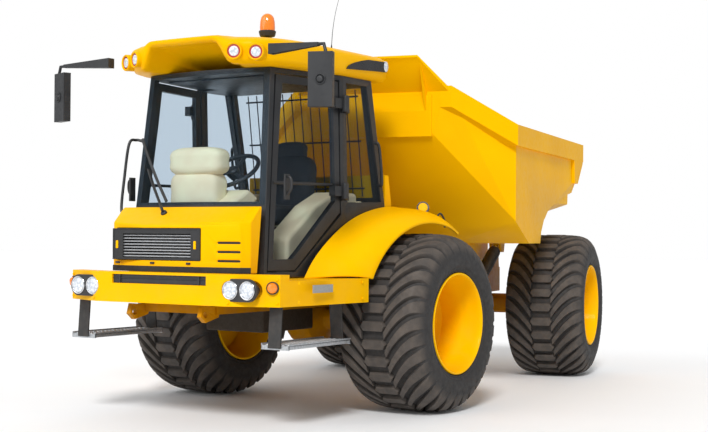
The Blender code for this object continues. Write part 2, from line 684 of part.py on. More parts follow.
def build_dump_body(joint, material):
    """The open steel body with its rails, rock canopy, tail posts, runners and lugs."""
    body = mesh_object("dump_body", hull(both(body_points(0.0))))
    cut(body, [wheel_arch(side, 0.0) for side in (LEFT, RIGHT)])
    hollow = mesh_object("hollow", hull(both(body_points(BODY_WALL))))
    cut(hollow, [wheel_arch(side, BODY_WALL) for side in (LEFT, RIGHT)])
    combine(body, [hollow], "DIFFERENCE")
    parts = [hull(both([
        (HEAD_HALF + 0.02, HEAD_Y + 0.02, HEAD_TOP - 0.01), (HEAD_HALF + 0.02, HEAD_Y, HEAD_TOP - 0.01),
        (CANOPY_HALF, CANOPY_Y, CANOPY_Z), (CANOPY_HALF, CANOPY_Y, CANOPY_Z - CANOPY_PLATE),
        (HEAD_HALF + 0.02, HEAD_Y, HEAD_TOP - 0.01 - 2 * CANOPY_PLATE)]))]
    parts.append(cross_member(HEAD_Y + 0.03, HEAD_TOP - 0.10, HEAD_TOP, HEAD_HALF, 0.06))
    parts.append(cross_member(HEAD_Y, HEAD_WAIST_Z - 0.02, HEAD_WAIST_Z + 0.30, HEAD_WAIST_HALF - 0.005, 0.03))
    for side in (LEFT, RIGHT):
        parts.append(rail_cap(side))
        x = side * GUSSET_X
        parts.append(prism([(HEAD_Y + 0.005, HEAD_TOP - 0.02), (HEAD_Y + 0.005, HEAD_TOP - 0.24),
                            (CANOPY_Y + 0.03, CANOPY_Z - 0.045)], "X", x - 0.006, x + 0.006))
        post = [(2.97, SIDE_TOP), (TAIL_Y, SIDE_TOP), (TAIL_Y - 0.03, TAIL_FLOOR), (TAIL_KNEE_Y, TAIL_KNEE_Z),
                (3.03, TAIL_KNEE_Z)]
        parts.append(prism(post, "X", side * (BODY_HALF - 0.006), side * (BODY_HALF + RAIL_CAP_PROUD)))
        middle = side * RAIL_SPREAD
        parts.append(box((middle - 0.03, REAR_RAIL_START, RAIL_HIGH + TOUCH),
                         (middle + 0.03, 2.75, BODY_FLOOR + 0.005)))
        lug_x = side * TIP_LUG_X
        half = TIP_LUG_THICKNESS / 2
        root = BODY_WALL * 0.7
        lug = [(TIP_HINGE_Y - 0.42, floor_z(TIP_HINGE_Y - 0.42) + root), (TIP_HINGE_Y - 0.06, TIP_HINGE_Z - 0.03),
               (TIP_HINGE_Y + 0.01, TIP_HINGE_Z - 0.06), (TIP_HINGE_Y + 0.06, TIP_HINGE_Z - 0.01),
               (TIP_HINGE_Y + 0.08, floor_z(TIP_HINGE_Y + 0.08) + root)]
        parts.append(prism(lug, "X", lug_x - half, lug_x + half))
        gap = TIP_ROD_RADIUS + EYE_GAP
        head_y, head_z = TIP_HEAD
        plate = [(head_y - 0.16, floor_z(head_y - 0.16) + root), (head_y - 0.05, head_z - 0.05),
                 (head_y + 0.06, head_z - 0.05), (head_y + 0.22, floor_z(head_y + 0.22) + root)]
        for offset in (-gap - 0.015, gap):
            low = side * TIP_CYLINDER_X + offset
            parts.append(prism(plate, "X", low, low + 0.015))
    helpers = [mesh_object("dump_body_part", part) for part in parts]
    combine(body, helpers, "UNION")
    finish(body, joint, material)


# ---------------------------------------------------------------- cylinders

def direction(start, end):
    """The unit step from one point to another in a plane."""
    step_a, step_b = end[0] - start[0], end[1] - start[1]
    length = hypot(step_a, step_b)
    return step_a / length, step_b / length, length


def build_tip_cylinder(side, barrel_joint, rod_joint, barrel_paint, steel):
    """One tipping cylinder: a bored barrel on its pin and a rod whose eye stays open."""
    name = SIDE_NAME[side]
    x = side * TIP_CYLINDER_X
    dy, dz, length = direction(TIP_FOOT, TIP_HEAD)
    foot = Vector((x, *TIP_FOOT))
    along = Vector((0, dy, dz))
    barrel_end = length - 0.11
    eye = Vector((CYLINDER_EYE_WIDTH / 2, 0, 0))
    foot_eye = Vector((TIP_BARREL_RADIUS + 0.002, 0, 0))
    barrel = join_solids(f"tip_barrel_{name}", [
        rod(foot + along * 0.03, foot + along * barrel_end, TIP_BARREL_RADIUS, 20),
        rod(foot - foot_eye, foot + foot_eye, 0.055, 20)])
    cut(barrel, [rod(foot + along * 0.10, foot + along * length, TIP_ROD_RADIUS + RUNNING),
                 rod(foot - 2 * foot_eye, foot + 2 * foot_eye, EYE_PIN_RADIUS + RUNNING)])
    finish(barrel, barrel_joint, barrel_paint, smooth=True)
    head = foot + along * length
    piston = join_solids(f"tip_rod_{name}", [
        rod(foot + along * 0.13, head - along * 0.03, TIP_ROD_RADIUS),
        rod(head - eye, head + eye, 0.048)])
    cut(piston, [rod(head - 2 * eye, head + 2 * eye, EYE_PIN_RADIUS + RUNNING)])
    finish(piston, rod_joint, steel, smooth=True)


def steer_ends(side):
    """Where a steering cylinder starts and ends at rest, in the front unit's frame."""
    foot = (side * STEER_FOOT[0], STEER_FOOT[1])
    x, y = side * STEER_HEAD[0], STEER_HEAD[1] - PIVOT_Y
    turned_x = x * cos(REST_STEER) - y * sin(REST_STEER)
    turned_y = x * sin(REST_STEER) + y * cos(REST_STEER)
    return foot, (turned_x, PIVOT_Y + turned_y)


def build_steer_cylinder(side, barrel_joint, rod_joint, barrel_paint, steel):
    """One steering cylinder between the front frame and the centre pivot."""
    name = SIDE_NAME[side]
    foot_2d, head_2d = steer_ends(side)
    dx, dy, length = direction(foot_2d, head_2d)
    foot = Vector((*foot_2d, STEER_HEIGHT))
    along = Vector((dx, dy, 0))
    barrel_end = 0.50
    eye = Vector((0, 0, CYLINDER_EYE_WIDTH / 2))
    foot_eye = Vector((0, 0, STEER_BARREL_RADIUS + 0.002))
    barrel = join_solids(f"steer_barrel_{name}", [
        rod(foot + along * 0.03, foot + along * barrel_end, STEER_BARREL_RADIUS),
        rod(foot - foot_eye, foot + foot_eye, 0.045)])
    cut(barrel, [rod(foot + along * 0.07, foot + along * length, STEER_ROD_RADIUS + RUNNING, 12),
                 rod(foot - 2 * foot_eye, foot + 2 * foot_eye, EYE_PIN_RADIUS + RUNNING)])
    finish(barrel, barrel_joint, barrel_paint, smooth=True)
    head = foot + along * length
    piston = join_solids(f"steer_rod_{name}", [
        rod(foot + along * (length - 0.50), head - along * 0.02, STEER_ROD_RADIUS, 12),
        rod(head - eye, head + eye, 0.040)])
    cut(piston, [rod(head - 2 * eye, head + 2 * eye, EYE_PIN_RADIUS + RUNNING)])
    finish(piston, rod_joint, steel, smooth=True)


# ---------------------------------------------------------------- bumper, steps, cowl

def build_bumper(joint, material):
    """A deep front bumper with swept ends, side skirts and the deck behind them."""
    parts = [loft([[(x, y, z) for x, y in outline] for z in (BUMPER_LOW, BUMPER_HIGH)]) for outline in [[
        (BUMPER_FLAT_HALF, BUMPER_FRONT), (BUMPER_HALF, BUMPER_CORNER_Y), (BUMPER_HALF, BUMPER_CORNER_Y + 0.10),
        (BUMPER_FLAT_HALF, BUMPER_FRONT + BUMPER_DEPTH), (-BUMPER_FLAT_HALF, BUMPER_FRONT + BUMPER_DEPTH),
        (-BUMPER_HALF, BUMPER_CORNER_Y + 0.10), (-BUMPER_HALF, BUMPER_CORNER_Y), (-BUMPER_FLAT_HALF, BUMPER_FRONT)]]]
    for side in (LEFT, RIGHT):
        start, end = side * BUMPER_HALF, side * SKIRT_END_HALF
        inner_start, inner_end = side * (BUMPER_HALF - SKIRT_THICKNESS), side * (SKIRT_END_HALF - SKIRT_THICKNESS)
        plan = [(start, BUMPER_CORNER_Y + 0.02), (end, SKIRT_END_Y), (inner_end, SKIRT_END_Y),
                (inner_start, BUMPER_CORNER_Y + 0.02)]
        parts.append(prism(plan, "Z", BUMPER_LOW, SKIRT_HIGH))
        inside = side * (CAB_FRONT_HALF + 0.02)
        deck = [(inner_start, BUMPER_CORNER_Y + 0.02), (inner_end, SKIRT_END_Y - 0.05),
                (side * (FENDER_INNER + 0.03), -0.96), (inside, -1.00), (inside, BUMPER_CORNER_Y + 0.02)]
        parts.append(prism(deck, "Z", SKIRT_HIGH - DECK_THICKNESS, SKIRT_HIGH))
    bumper = join_solids("front_bumper", parts)
    slot = [box((-BUMPER_SLOT_HALF, BUMPER_FRONT - 0.05, BUMPER_SLOT_LOW),
                (BUMPER_SLOT_HALF, BUMPER_FRONT + BUMPER_DEPTH / 2, BUMPER_HIGH - BUMPER_WALL))]
    wall = BUMPER_WALL
    pocket_half = [(BUMPER_FLAT_HALF, BUMPER_FRONT + wall), (BUMPER_HALF - wall, BUMPER_CORNER_Y + wall),
                   (BUMPER_HALF - wall, BUMPER_CORNER_Y + 0.10 - wall),
                   (BUMPER_FLAT_HALF, BUMPER_FRONT + BUMPER_DEPTH - wall)]
    pocket = pocket_half + [(-x, y) for x, y in reversed(pocket_half)]
    cut(bumper, slot + [prism(pocket, "Z", BUMPER_LOW - 0.1, BUMPER_HIGH - wall)])
    cutters = []
    for side in (LEFT, RIGHT):
        for at in (LAMP_OUTER, LAMP_INNER):
            cutters.append(rod((side * at, BUMPER_FRONT - 0.1, LAMP_HEIGHT),
                               (side * at, lamp_face_y(at) + 0.05, LAMP_HEIGHT), LAMP_RADIUS + RUNNING, 20))
    cut(bumper, cutters)
    finish(bumper, joint, material)


def lamp_face_y(x):
    """How far forward the bumper's swept face is at this distance from the centre line."""
    share = (abs(x) - BUMPER_FLAT_HALF) / (BUMPER_HALF - BUMPER_FLAT_HALF)
    return between(BUMPER_FRONT, BUMPER_CORNER_Y, max(share, 0.0))


def build_headlamps(side, joint, material):
    """Two round lamps on a bracket behind the bumper's holes."""
    parts = []
    for at in (LAMP_OUTER, LAMP_INNER):
        face = lamp_face_y(at) - 0.012
        outline = [(face, 0.0), (face, LAMP_RADIUS - 0.010), (face + 0.012, LAMP_RADIUS),
                   (LAMP_BRACKET_Y, LAMP_RADIUS), (LAMP_BRACKET_Y, 0.0)]
        parts.append(lathe(outline, (side * at, 0, LAMP_HEIGHT), "Y", 20))
    parts.append(box((side * (LAMP_INNER - 0.02), LAMP_BRACKET_Y - 0.008, LAMP_HEIGHT - 0.045),
                     (side * (LAMP_OUTER + 0.012), LAMP_BRACKET_Y + 0.008, LAMP_HEIGHT + 0.045)))
    lamps = join_solids(f"headlamps_{SIDE_NAME[side]}", parts)
    finish(lamps, joint, material, smooth=True)


def build_step(side, joint, material):
    """A hanging step: two straps below the skirt and a tread between them."""
    low, top = STEP_TREAD_Z - 0.03, BUMPER_LOW - TOUCH
    parts = []
    for y in (STEP_FRONT_Y, STEP_REAR_Y):
        share = (y - BUMPER_CORNER_Y) / (SKIRT_END_Y - BUMPER_CORNER_Y)
        outer = between(BUMPER_HALF, SKIRT_END_HALF, share) - SKIRT_THICKNESS / 4
        x = side * outer
        parts.append(box((x, y - STEP_STRAP_WIDTH / 2, low), (x - side * STEP_STRAP, y + STEP_STRAP_WIDTH / 2, top)))
        parts.append(box((x - side * STEP_STRAP, y - STEP_STRAP_WIDTH / 2, low),
                         (x - side * (STEP_DEPTH - 0.01), y + STEP_STRAP_WIDTH / 2, low + STEP_STRAP)))
    parts.append(box((side * STEP_HALF, STEP_FRONT_Y, STEP_TREAD_Z - 0.025),
                     (side * (STEP_HALF - STEP_DEPTH + 0.04), STEP_REAR_Y, STEP_TREAD_Z)))
    step = join_solids(f"step_{SIDE_NAME[side]}", parts)
    finish(step, joint, material)


def cowl_section(z, nose, lean):
    """The cowl's plan at a height; its nose may be drawn back to a line, and its sides leant to the cab."""
    back = cab_front(z)[0] - CAB_BULGE - COWL_GAP
    half = [(COWL_HALF, COWL_SIDE_Y), (COWL_HALF - 0.05, COWL_SIDE_Y - 0.05), (0.25, COWL_FRONT)]
    half = [(x, between(max(y, nose), back, lean)) for x, y in half]
    plan = [(COWL_HALF, back), *half]
    return [(x, y, z) for x, y in plan + [(-x, y) for x, y in reversed(plan)]]


def build_cowl(joint, material):
    """The nose below the windscreen, with a pocket for the grille and three louvre slots."""
    sections = [cowl_section(COWL_LOW, COWL_FRONT, 0.0), cowl_section(COWL_HIGH - 0.02, COWL_FRONT, 0.0),
                cowl_section(COWL_HIGH, COWL_FRONT + 0.03, 0.0), cowl_section(COWL_TOP, COWL_FRONT + 0.03, 0.85)]
    cowl = mesh_object("front_cowl", loft(sections))
    pocket = box((GRILLE_RIGHT - 0.002, COWL_FRONT - 0.1, GRILLE_LOW - 0.002),
                 (GRILLE_LEFT + 0.002, COWL_SIDE_Y + 0.001, GRILLE_HIGH + 0.002))
    slots = [box((0.385, COWL_FRONT - 0.1, z - 0.007), (0.555, COWL_SIDE_Y - 0.02, z + 0.007))
             for z in (1.075, 1.135, 1.195)]
    cut(cowl, [pocket] + slots)
    finish(cowl, joint, material)


def build_grille(joint, material):
    """The framed grille, with a row of level slats."""
    front, back = COWL_FRONT + 0.004, COWL_SIDE_Y + 0.001 - TOUCH
    plate = box((GRILLE_RIGHT, front, GRILLE_LOW), (GRILLE_LEFT, back, GRILLE_HIGH))
    grille = mesh_object("radiator_grille", plate)
    pitch = (GRILLE_HIGH - GRILLE_LOW - 0.06) / 6
    cuts = [box((GRILLE_RIGHT + 0.045, front - 0.02, GRILLE_LOW + 0.03 + pitch * (i + 0.18)),
                (GRILLE_LEFT - 0.045, front + 0.035, GRILLE_LOW + 0.03 + pitch * (i + 0.82))) for i in range(6)]
    cut(grille, cuts)
    finish(grille, joint, material)


# ---------------------------------------------------------------- cab

def cab_front(z):
    """Where the corner of the cab's front stands at a height, and its half width there."""
    share = (z - CAB_FLOOR) / (CAB_TOP - CAB_FLOOR)
    return between(CAB_FRONT_Y, CAB_FRONT_TOP_Y, share), between(CAB_FRONT_HALF, CAB_FRONT_TOP_HALF, share)


def cab_plan(z, inset=0.0):
    """The cab's plan at a height: a bowed front, sides that widen to the door post, a straight rear."""
    front, front_half = cab_front(z)
    front += inset
    middle = between(CAB_MID_Y, CAB_MID_TOP_Y, (z - CAB_FLOOR) / (CAB_TOP - CAB_FLOOR))
    rear_share = max(0.0, (z - WAIST_Z) / (CAB_TOP - WAIST_Z))
    rear = between(CAB_REAR_Y, CAB_REAR_TOP_Y, rear_share) - inset
    left = []
    for part in (0.0, 0.33, 0.67, 1.0):
        x = (front_half - inset) * part
        left.append((x, front - CAB_BULGE * (1 - part ** 2)))
    left += [(CAB_MID_HALF - inset, middle), (CAB_MID_HALF - inset, rear)]
    return left + [(-x, y) for x, y in reversed(left[1:])]


def arch_cylinder(side, inner_x, radius):
    """The round space of a front wheel arch, outwards from a distance off the centre line."""
    return rod((side * inner_x, 0, AXLE_HEIGHT), (side * (CAB_MID_HALF + 0.3), 0, AXLE_HEIGHT), radius, 36)


def side_x(y, z):
    """The half width of the cab's outer face at this place."""
    front, front_half = cab_front(z)
    middle = between(CAB_MID_Y, CAB_MID_TOP_Y, (z - CAB_FLOOR) / (CAB_TOP - CAB_FLOOR))
    return between(front_half, CAB_MID_HALF, min(1.0, (y - front) / (middle - front)))


def door_outline(grow):
    """The door's outline from the side, as (y, z), grown or shrunk by a distance."""
    rear_low, rear_top = CAB_MID_Y - 0.055 + grow, CAB_MID_TOP_Y - 0.055 + grow
    front_low, front_top = CAB_FRONT_Y + 0.045 - grow, CAB_FRONT_TOP_Y + 0.045 - grow
    return [(front_low, DOOR_LOW - grow), (DOOR_STEP_Y + grow * 0.4, DOOR_LOW - grow),
            (rear_low, DOOR_SIDE_LOW - grow * 1.4), (rear_top, DOOR_TOP + grow), (front_top, DOOR_TOP + grow)]


def quarter_outline(grow):
    """The quarter window's outline from the side."""
    front_low, front_top = CAB_MID_Y + 0.035 - grow, CAB_MID_TOP_Y + 0.035 - grow
    rear_low, rear_top = CAB_REAR_Y - 0.055 + grow, CAB_REAR_TOP_Y - 0.060 + grow
    return [(front_low, WAIST_Z + 0.045 - grow), (rear_low, WAIST_Z + 0.055 - grow), (rear_top, DOOR_TOP + grow),
            (front_top, DOOR_TOP + grow)]


def side_panel(outline, side, outer, thickness):
    """A plate that follows the cab's side face, set out from it by a distance."""
    near = [(side * (side_x(y, z) + outer), y, z) for y, z in outline]
    far = [(side * (side_x(y, z) + outer - thickness), y, z) for y, z in outline]
    return loft([near, far])


def build_cab_shell(joint, material):
    """The hollow cab: floor, posts, headers and lower walls around its openings."""
    heights = (CAB_FLOOR, WAIST_Z, CAB_TOP)
    shell = mesh_object("cab_shell", loft([[(x, y, z) for x, y in cab_plan(z)] for z in heights]))
    cut(shell, [arch_cylinder(side, CAB_ARCH_X, FENDER_ARCH) for side in (LEFT, RIGHT)])
    inner = (CAB_FLOOR + CAB_WALL, WAIST_Z, CAB_TOP - CAB_WALL)
    hollow = mesh_object("hollow", loft([[(x, y, z) for x, y in cab_plan(z, CAB_WALL)] for z in inner]))
    cut(hollow, [arch_cylinder(side, CAB_ARCH_X - CAB_WALL, FENDER_ARCH + CAB_WALL) for side in (LEFT, RIGHT)])
    combine(shell, [hollow], "DIFFERENCE")
    front_low, front_high = WAIST_Z + 0.03, CAB_TOP - 0.035
    opening = [(x, y, z) for z in (front_low, front_high) for x in (0.05 - cab_front(z)[1], cab_front(z)[1] - 0.05)
               for y in (CAB_FRONT_Y - 0.3, cab_front(z)[0] + 0.10)]
    windscreen = hull(opening)
    rear_window = box((-CAB_MID_HALF + 0.07, -0.30, WAIST_Z + 0.09), (CAB_MID_HALF - 0.07, 0.30, DOOR_TOP))
    cutters = [windscreen, rear_window]
    for side in (LEFT, RIGHT):
        x0, x1 = side * (CAB_FRONT_HALF - 0.15), side * (CAB_MID_HALF + 0.10)
        cutters.append(prism(door_outline(DOOR_GAP), "X", x0, x1))
        cutters.append(prism(quarter_outline(0.0), "X", x0, x1))
    cut(shell, cutters)
    hinge_x = CAB_MID_HALF + DOOR_HINGE_OUT
    extras = []
    for side in (LEFT, RIGHT):
        for height in DOOR_HINGE_HEIGHTS:
            y = door_hinge_y()
            low = height - DOOR_KNUCKLE / 2 - TOUCH
            extras.append(box((side * (CAB_MID_HALF - 0.01), y - 0.012, low - 0.030),
                              (side * (hinge_x + DOOR_HINGE_RADIUS), y + 0.030, low)))
    extras.append(box((-0.22, SEAT_Y - 0.22, CAB_FLOOR + 0.02), (0.22, SEAT_Y + 0.22, SEAT_Z - TOUCH)))
    combine(shell, [mesh_object("cab_extra", extra) for extra in extras], "UNION")
    finish(shell, joint, material)


def door_hinge_y():
    """Where the door's hinge line stands, just ahead of the door post."""
    return CAB_MID_TOP_Y - 0.012


def build_door(side, joint, material, glass):
    """A door frame with its window cut, hinge knuckles and its pane."""
    name = SIDE_NAME[side]
    door = mesh_object(f"door_{name}", side_panel(door_outline(0.0), side, 0.0, DOOR_THICKNESS))
    window = door_outline(-DOOR_FRAME)
    window[0] = (window[0][0], window[0][1] + 0.02)
    window[1] = (window[1][0], window[1][1] + 0.02)
    cut(door, [prism(window, "X", side * 0.3, side * 1.0)])
    hinge_x, hinge_y = CAB_MID_HALF + DOOR_HINGE_OUT, door_hinge_y()
    knuckles = []
    for height in DOOR_HINGE_HEIGHTS:
        low, high = height - DOOR_KNUCKLE / 2, height + DOOR_KNUCKLE / 2
        knuckles.append(rod((side * hinge_x, hinge_y, low), (side * hinge_x, hinge_y, high), DOOR_HINGE_RADIUS, 12))
        knuckles.append(box((side * (CAB_MID_HALF + 0.007), hinge_y - 0.125, low),
                            (side * hinge_x, hinge_y - 0.002, high)))
        knuckles.append(box((side * (CAB_MID_HALF - 0.022), hinge_y - 0.125, low),
                            (side * (CAB_MID_HALF + 0.008), hinge_y - 0.065, high)))
    combine(door, [mesh_object("knuckle", knuckle) for knuckle in knuckles], "UNION")
    finish(door, joint, material)
    pane_outline = [(y, z) for y, z in door_outline(-DOOR_FRAME - 0.0005)]
    pane_outline[0] = (pane_outline[0][0], pane_outline[0][1] + 0.02)
    pane_outline[1] = (pane_outline[1][0], pane_outline[1][1] + 0.02)
    pane = mesh_object(f"door_glass_{name}", side_panel(pane_outline, side, -0.016, GLASS))
    finish(pane, joint, glass)


def build_quarter_glass(side, joint, glass):
    """The fixed pane behind the door."""
    outline = quarter_outline(-0.0005)
    near = [(side * (CAB_MID_HALF - 0.012), y, z) for y, z in outline]
    far = [(side * (CAB_MID_HALF - 0.012 - GLASS), y, z) for y, z in outline]
    pane = mesh_object(f"quarter_glass_{SIDE_NAME[side]}", loft([near, far]))
    finish(pane, joint, glass)


def build_windscreen(joint, glass):
    """The bowed windscreen, which lies on the cab's front face."""
    sections = []
    low, high = WAIST_Z + 0.012, CAB_TOP - 0.012
    near = 2 * TOUCH
    half = (0.165, 0.33, 0.50, 0.67, 0.835, 0.985)
    for part in [-share for share in reversed(half)] + [0.0, *half]:
        section = []
        for z, out in ((low, near), (high, near), (high, near + GLASS), (low, near + GLASS)):
            front, front_half = cab_front(z)
            section.append((front_half * part, bow_y(front, part) - out, z))
        sections.append(section)
    pane = mesh_object("windshield", loft(sections))
    finish(pane, joint, glass)


def bow_y(front, part):
    """The front face's place at a share of its half width, along the same flats as the cab's plan."""
    stops = (0.0, 0.33, 0.67, 1.0)
    part = abs(part)
    for near, far in zip(stops, stops[1:]):
        if part <= far:
            share = (part - near) / (far - near)
            return front - CAB_BULGE * between(1 - near ** 2, 1 - far ** 2, share)
    return front


def build_rear_window(joint, glass):
    """The flat rear pane, leaning with the rear posts."""
    low, high = WAIST_Z + 0.0905, DOOR_TOP - 0.0005
    half = CAB_MID_HALF - 0.0705
    lean = (CAB_REAR_TOP_Y - CAB_REAR_Y) / (CAB_TOP - WAIST_Z)
    sections = []
    for z in (low, high):
        y = CAB_REAR_Y + (z - WAIST_Z) * lean - 0.014
        sections.append([(-half, y, z), (half, y, z), (half, y - GLASS, z), (-half, y - GLASS, z)])
    pane = mesh_object("rear_window", loft(sections))
    finish(pane, joint, glass)


def build_roof(joint, material):
    """The roof cap with its visor and the two low lamp pods at the front corners."""
    half = [(0.0, ROOF_FRONT), (0.40, ROOF_FRONT + 0.02), (ROOF_HALF - 0.03, ROOF_CORNER_Y - 0.04),
            (ROOF_HALF, ROOF_CORNER_Y + 0.10), (ROOF_HALF, ROOF_REAR - 0.10), (ROOF_HALF - 0.06, ROOF_REAR)]
    plan = half + [(-x, y) for x, y in reversed(half[1:])]
    middle_y = (ROOF_FRONT + ROOF_REAR) / 2

    def level(z, shrink, rise):
        return [(x * (1 - shrink), between(y, middle_y, shrink * 0.55), z + rise * (1 - abs(x) / ROOF_HALF))
                for x, y in plan]

    sections = [level(ROOF_SIDE_LOW, 0.0, 0.0), level(ROOF_EDGE, 0.0, 0.03), level(ROOF_CROWN - 0.015, 0.09, 0.015),
                level(ROOF_CROWN, 0.30, 0.0)]
    roof = mesh_object("cab_roof", loft(sections))
    cut(roof, [box((-POD_INNER, ROOF_FRONT - 0.1, ROOF_SIDE_LOW - 0.1), (POD_INNER, -1.46, VISOR_LOW))])
    finish(roof, joint, material)


def fender_section(angle):
    """Inner foot, inner crest, crest, lip and arch points of a fender at an angle about the axle."""
    share = (angle - FENDER_START) / (FENDER_END - FENDER_START)
    crest = FENDER_ARCH + 0.118 + 0.22 * (1 - share) ** 2.2
    lip_x = SKIRT_END_HALF + 0.13 * min(1.0, share * 1.15) ** 1.3
    lip = FENDER_ARCH + 0.018
    shoulder_x = between(FENDER_CREST, lip_x, 0.55)
    shoulder = between(crest, lip, 0.30)
    points = [(FENDER_INNER, FENDER_ARCH), (FENDER_INNER, crest), (FENDER_CREST, crest), (shoulder_x, shoulder),
              (lip_x, lip), (lip_x, FENDER_ARCH)]
    return [(x, -radius * cos(angle), AXLE_HEIGHT + radius * sin(angle)) for x, radius in points]


def build_fender(side, joint, material):
    """A front fender: a swept solid above the wheel arch, narrowing to a lip."""
    count = 9
    sections = [mirrored(fender_section(between(FENDER_START, FENDER_END, i / (count - 1))), side)
                for i in range(count)]
    fender = mesh_object(f"fender_{SIDE_NAME[side]}", loft(sections))
    finish(fender, joint, material, smooth=True)


def build_engine_cover(joint, material):
    """The sloped cover between the cab and the centre pivot."""
    half = FENDER_INNER - TOUCH - 0.02
    front, low = CAB_REAR_Y + 0.03, RAIL_HIGH + TOUCH
    outline = [(front, low), (front, COVER_TOP), (front + 0.05, COVER_TOP), (COVER_BREAK_Y, 1.50),
               (COVER_BREAK_Y, COVER_SHELF), (COVER_END_Y, COVER_SHELF - 0.02), (COVER_END_Y, low)]
    cover = mesh_object("engine_cover", prism(outline, "X", -half, half))
    cut(cover, [arch_cylinder(side, CAB_ARCH_X, FENDER_ARCH) for side in (LEFT, RIGHT)])
    inner_front, inner_low = front + COVER_WALL, low - 0.05
    break_y, shelf, end_y = COVER_BREAK_Y - COVER_WALL, COVER_SHELF - COVER_WALL, COVER_END_Y - COVER_WALL
    hollow = [(inner_front, inner_low), (inner_front, COVER_TOP - COVER_WALL - 0.01),
              (front + 0.04, COVER_TOP - COVER_WALL - 0.01), (break_y, 1.49), (break_y, shelf), (end_y, shelf - 0.02),
              (end_y, inner_low)]
    space = mesh_object("cover_space", prism(hollow, "X", -half + COVER_WALL, half - COVER_WALL))
    cut(space, [arch_cylinder(side, CAB_ARCH_X - COVER_WALL, FENDER_ARCH + COVER_WALL) for side in (LEFT, RIGHT)])
    combine(cover, [space], "DIFFERENCE")
    finish(cover, joint, material)


def build_engine(joint, material):
    """The engine as one plain block on the front frame."""
    half = RAIL_SPREAD - RAIL_WIDTH / 2 - TOUCH
    block = box((-half, ENGINE_FRONT, ENGINE_LOW), (half, ENGINE_REAR, CAB_FLOOR - MOVING))
    finish(mesh_object("engine_block", block), joint, material)


def build_seat(joint, material):
    """The driver's seat: cushion and back rest, on the pedestal in the cab."""
    back = SEAT_Y + 0.24
    profile = [(SEAT_Y - 0.26, SEAT_Z), (back + 0.02, SEAT_Z), (back + 0.12, SEAT_Z + 0.62), (back + 0.01, SEAT_Z + 0.66),
               (back - 0.10, SEAT_Z + 0.14), (SEAT_Y - 0.26, SEAT_Z + 0.11)]
    finish(mesh_object("seat", prism(profile, "X", -SEAT_HALF, SEAT_HALF)), joint, material)


def build_console(joint, material):
    """The steering console, standing on the cab floor."""
    foot = CAB_FLOOR + CAB_WALL + TOUCH
    top_y = WHEEL_CENTRE[1] - COLUMN_LENGTH * sin(COLUMN_TILT)
    top_z = WHEEL_CENTRE[2] - COLUMN_LENGTH * cos(COLUMN_TILT)
    step_y, step_z = 0.07 * cos(COLUMN_TILT), -0.07 * sin(COLUMN_TILT)
    profile = [(-1.34, foot), (-1.20, foot), (-1.14, 1.40), (top_y + step_y, top_z + step_z),
               (top_y - step_y, top_z - step_z), (-1.34, 1.45)]
    finish(mesh_object("steering_console", prism(profile, "X", -0.26, 0.26)), joint, material)


def build_steering_wheel(joint, material):
    """A ring, three spokes and a hub on a short column, tilted towards the driver."""
    tilt = Matrix.Rotation(-COLUMN_TILT, 4, "X")
    centre = Vector(WHEEL_CENTRE)
    ring = []
    for i in range(8):
        angle = 2 * pi * i / 8
        ring.append((WHEEL_TUBE * cos(angle), WHEEL_RADIUS + WHEEL_TUBE * sin(angle)))
    parts = [lathe(ring, (0, 0, 0), "Z", 24)]
    for i in range(3):
        angle = radians(90 + 120 * i)
        parts.append(rod((0.022 * cos(angle), 0.022 * sin(angle), -0.003),
                         ((WHEEL_RADIUS - 0.002) * cos(angle), (WHEEL_RADIUS - 0.002) * sin(angle), 0.001), 0.011, 8))
    parts.append(rod((0, 0, TOUCH - COLUMN_LENGTH), (0, 0, 0.02), 0.035, 12))
    for part in parts:
        part.transform(Matrix.Translation(centre) @ tilt)
    wheel = join_solids("steering_wheel", parts)
    finish(wheel, joint, material, smooth=True)


def build_mirror(side, joint, material):
    """A mirror: an arm from the roof's corner, a hanging tube and a toed-in head."""
    x, y, z = MIRROR_CENTRE
    width, depth, height = MIRROR_SIZE
    top = z + height / 2
    arm_z = top + 0.05
    root_x = between(ROOF_HALF - 0.03, ROOF_HALF, 0.5) + TOUCH
    arm = hull([(side * root_x, ROOF_CORNER_Y + dy, 2.46 + dz) for dy in (-0.03, 0.03)
                for dz in (-0.035, 0.035)]
               + [(side * (x - 0.02), y + dy, arm_z + dz) for dy in (-0.015, 0.015) for dz in (-0.012, 0.012)])
    drop = bent_tube([(side * (x - 0.04), y, arm_z), (side * (x + 0.02), y, arm_z), (side * (x + 0.04), y, top - 0.02),
                      (side * x, y + 0.02, z)], 0.012)
    head = box((-width / 2, -depth / 2, -height / 2), (width / 2, depth / 2, height / 2))
    head.transform(Matrix.Translation((side * x, y, z)) @ Matrix.Rotation(side * MIRROR_TOE, 4, "Z"))
    mirror = join_solids(f"mirror_{SIDE_NAME[side]}", [arm, drop, head])
    finish(mirror, joint, material)


def build_beacon(joint, material):
    """The round warning beacon on its stub."""
    x, y = BEACON_AT
    base = ROOF_CROWN + TOUCH
    outline = [(0.0, 0.0), (0.0, 0.040), (0.035, 0.040), (0.035, 0.062), (0.080, 0.062), (0.090, 0.052),
               (0.175, 0.046), (0.205, 0.030), (0.212, 0.0)]
    beacon = mesh_object("beacon", lathe(outline, (x, y, base), "Z", 16))
    finish(beacon, joint, material, smooth=True)


def build_antenna(joint, material):
    """The thin aerial on the roof."""
    x, y = ANTENNA_AT
    parts = [rod((x, y, ROOF_CROWN + TOUCH), (x, y, ROOF_CROWN + 0.03), 0.014, 8),
             rod((x, y, ROOF_CROWN + 0.02), (x, y + 0.09, ANTENNA_TOP), 0.004, 6, 0.003)]
    finish(join_solids("antenna", parts), joint, material)


# ---------------------------------------------------------------- the truck

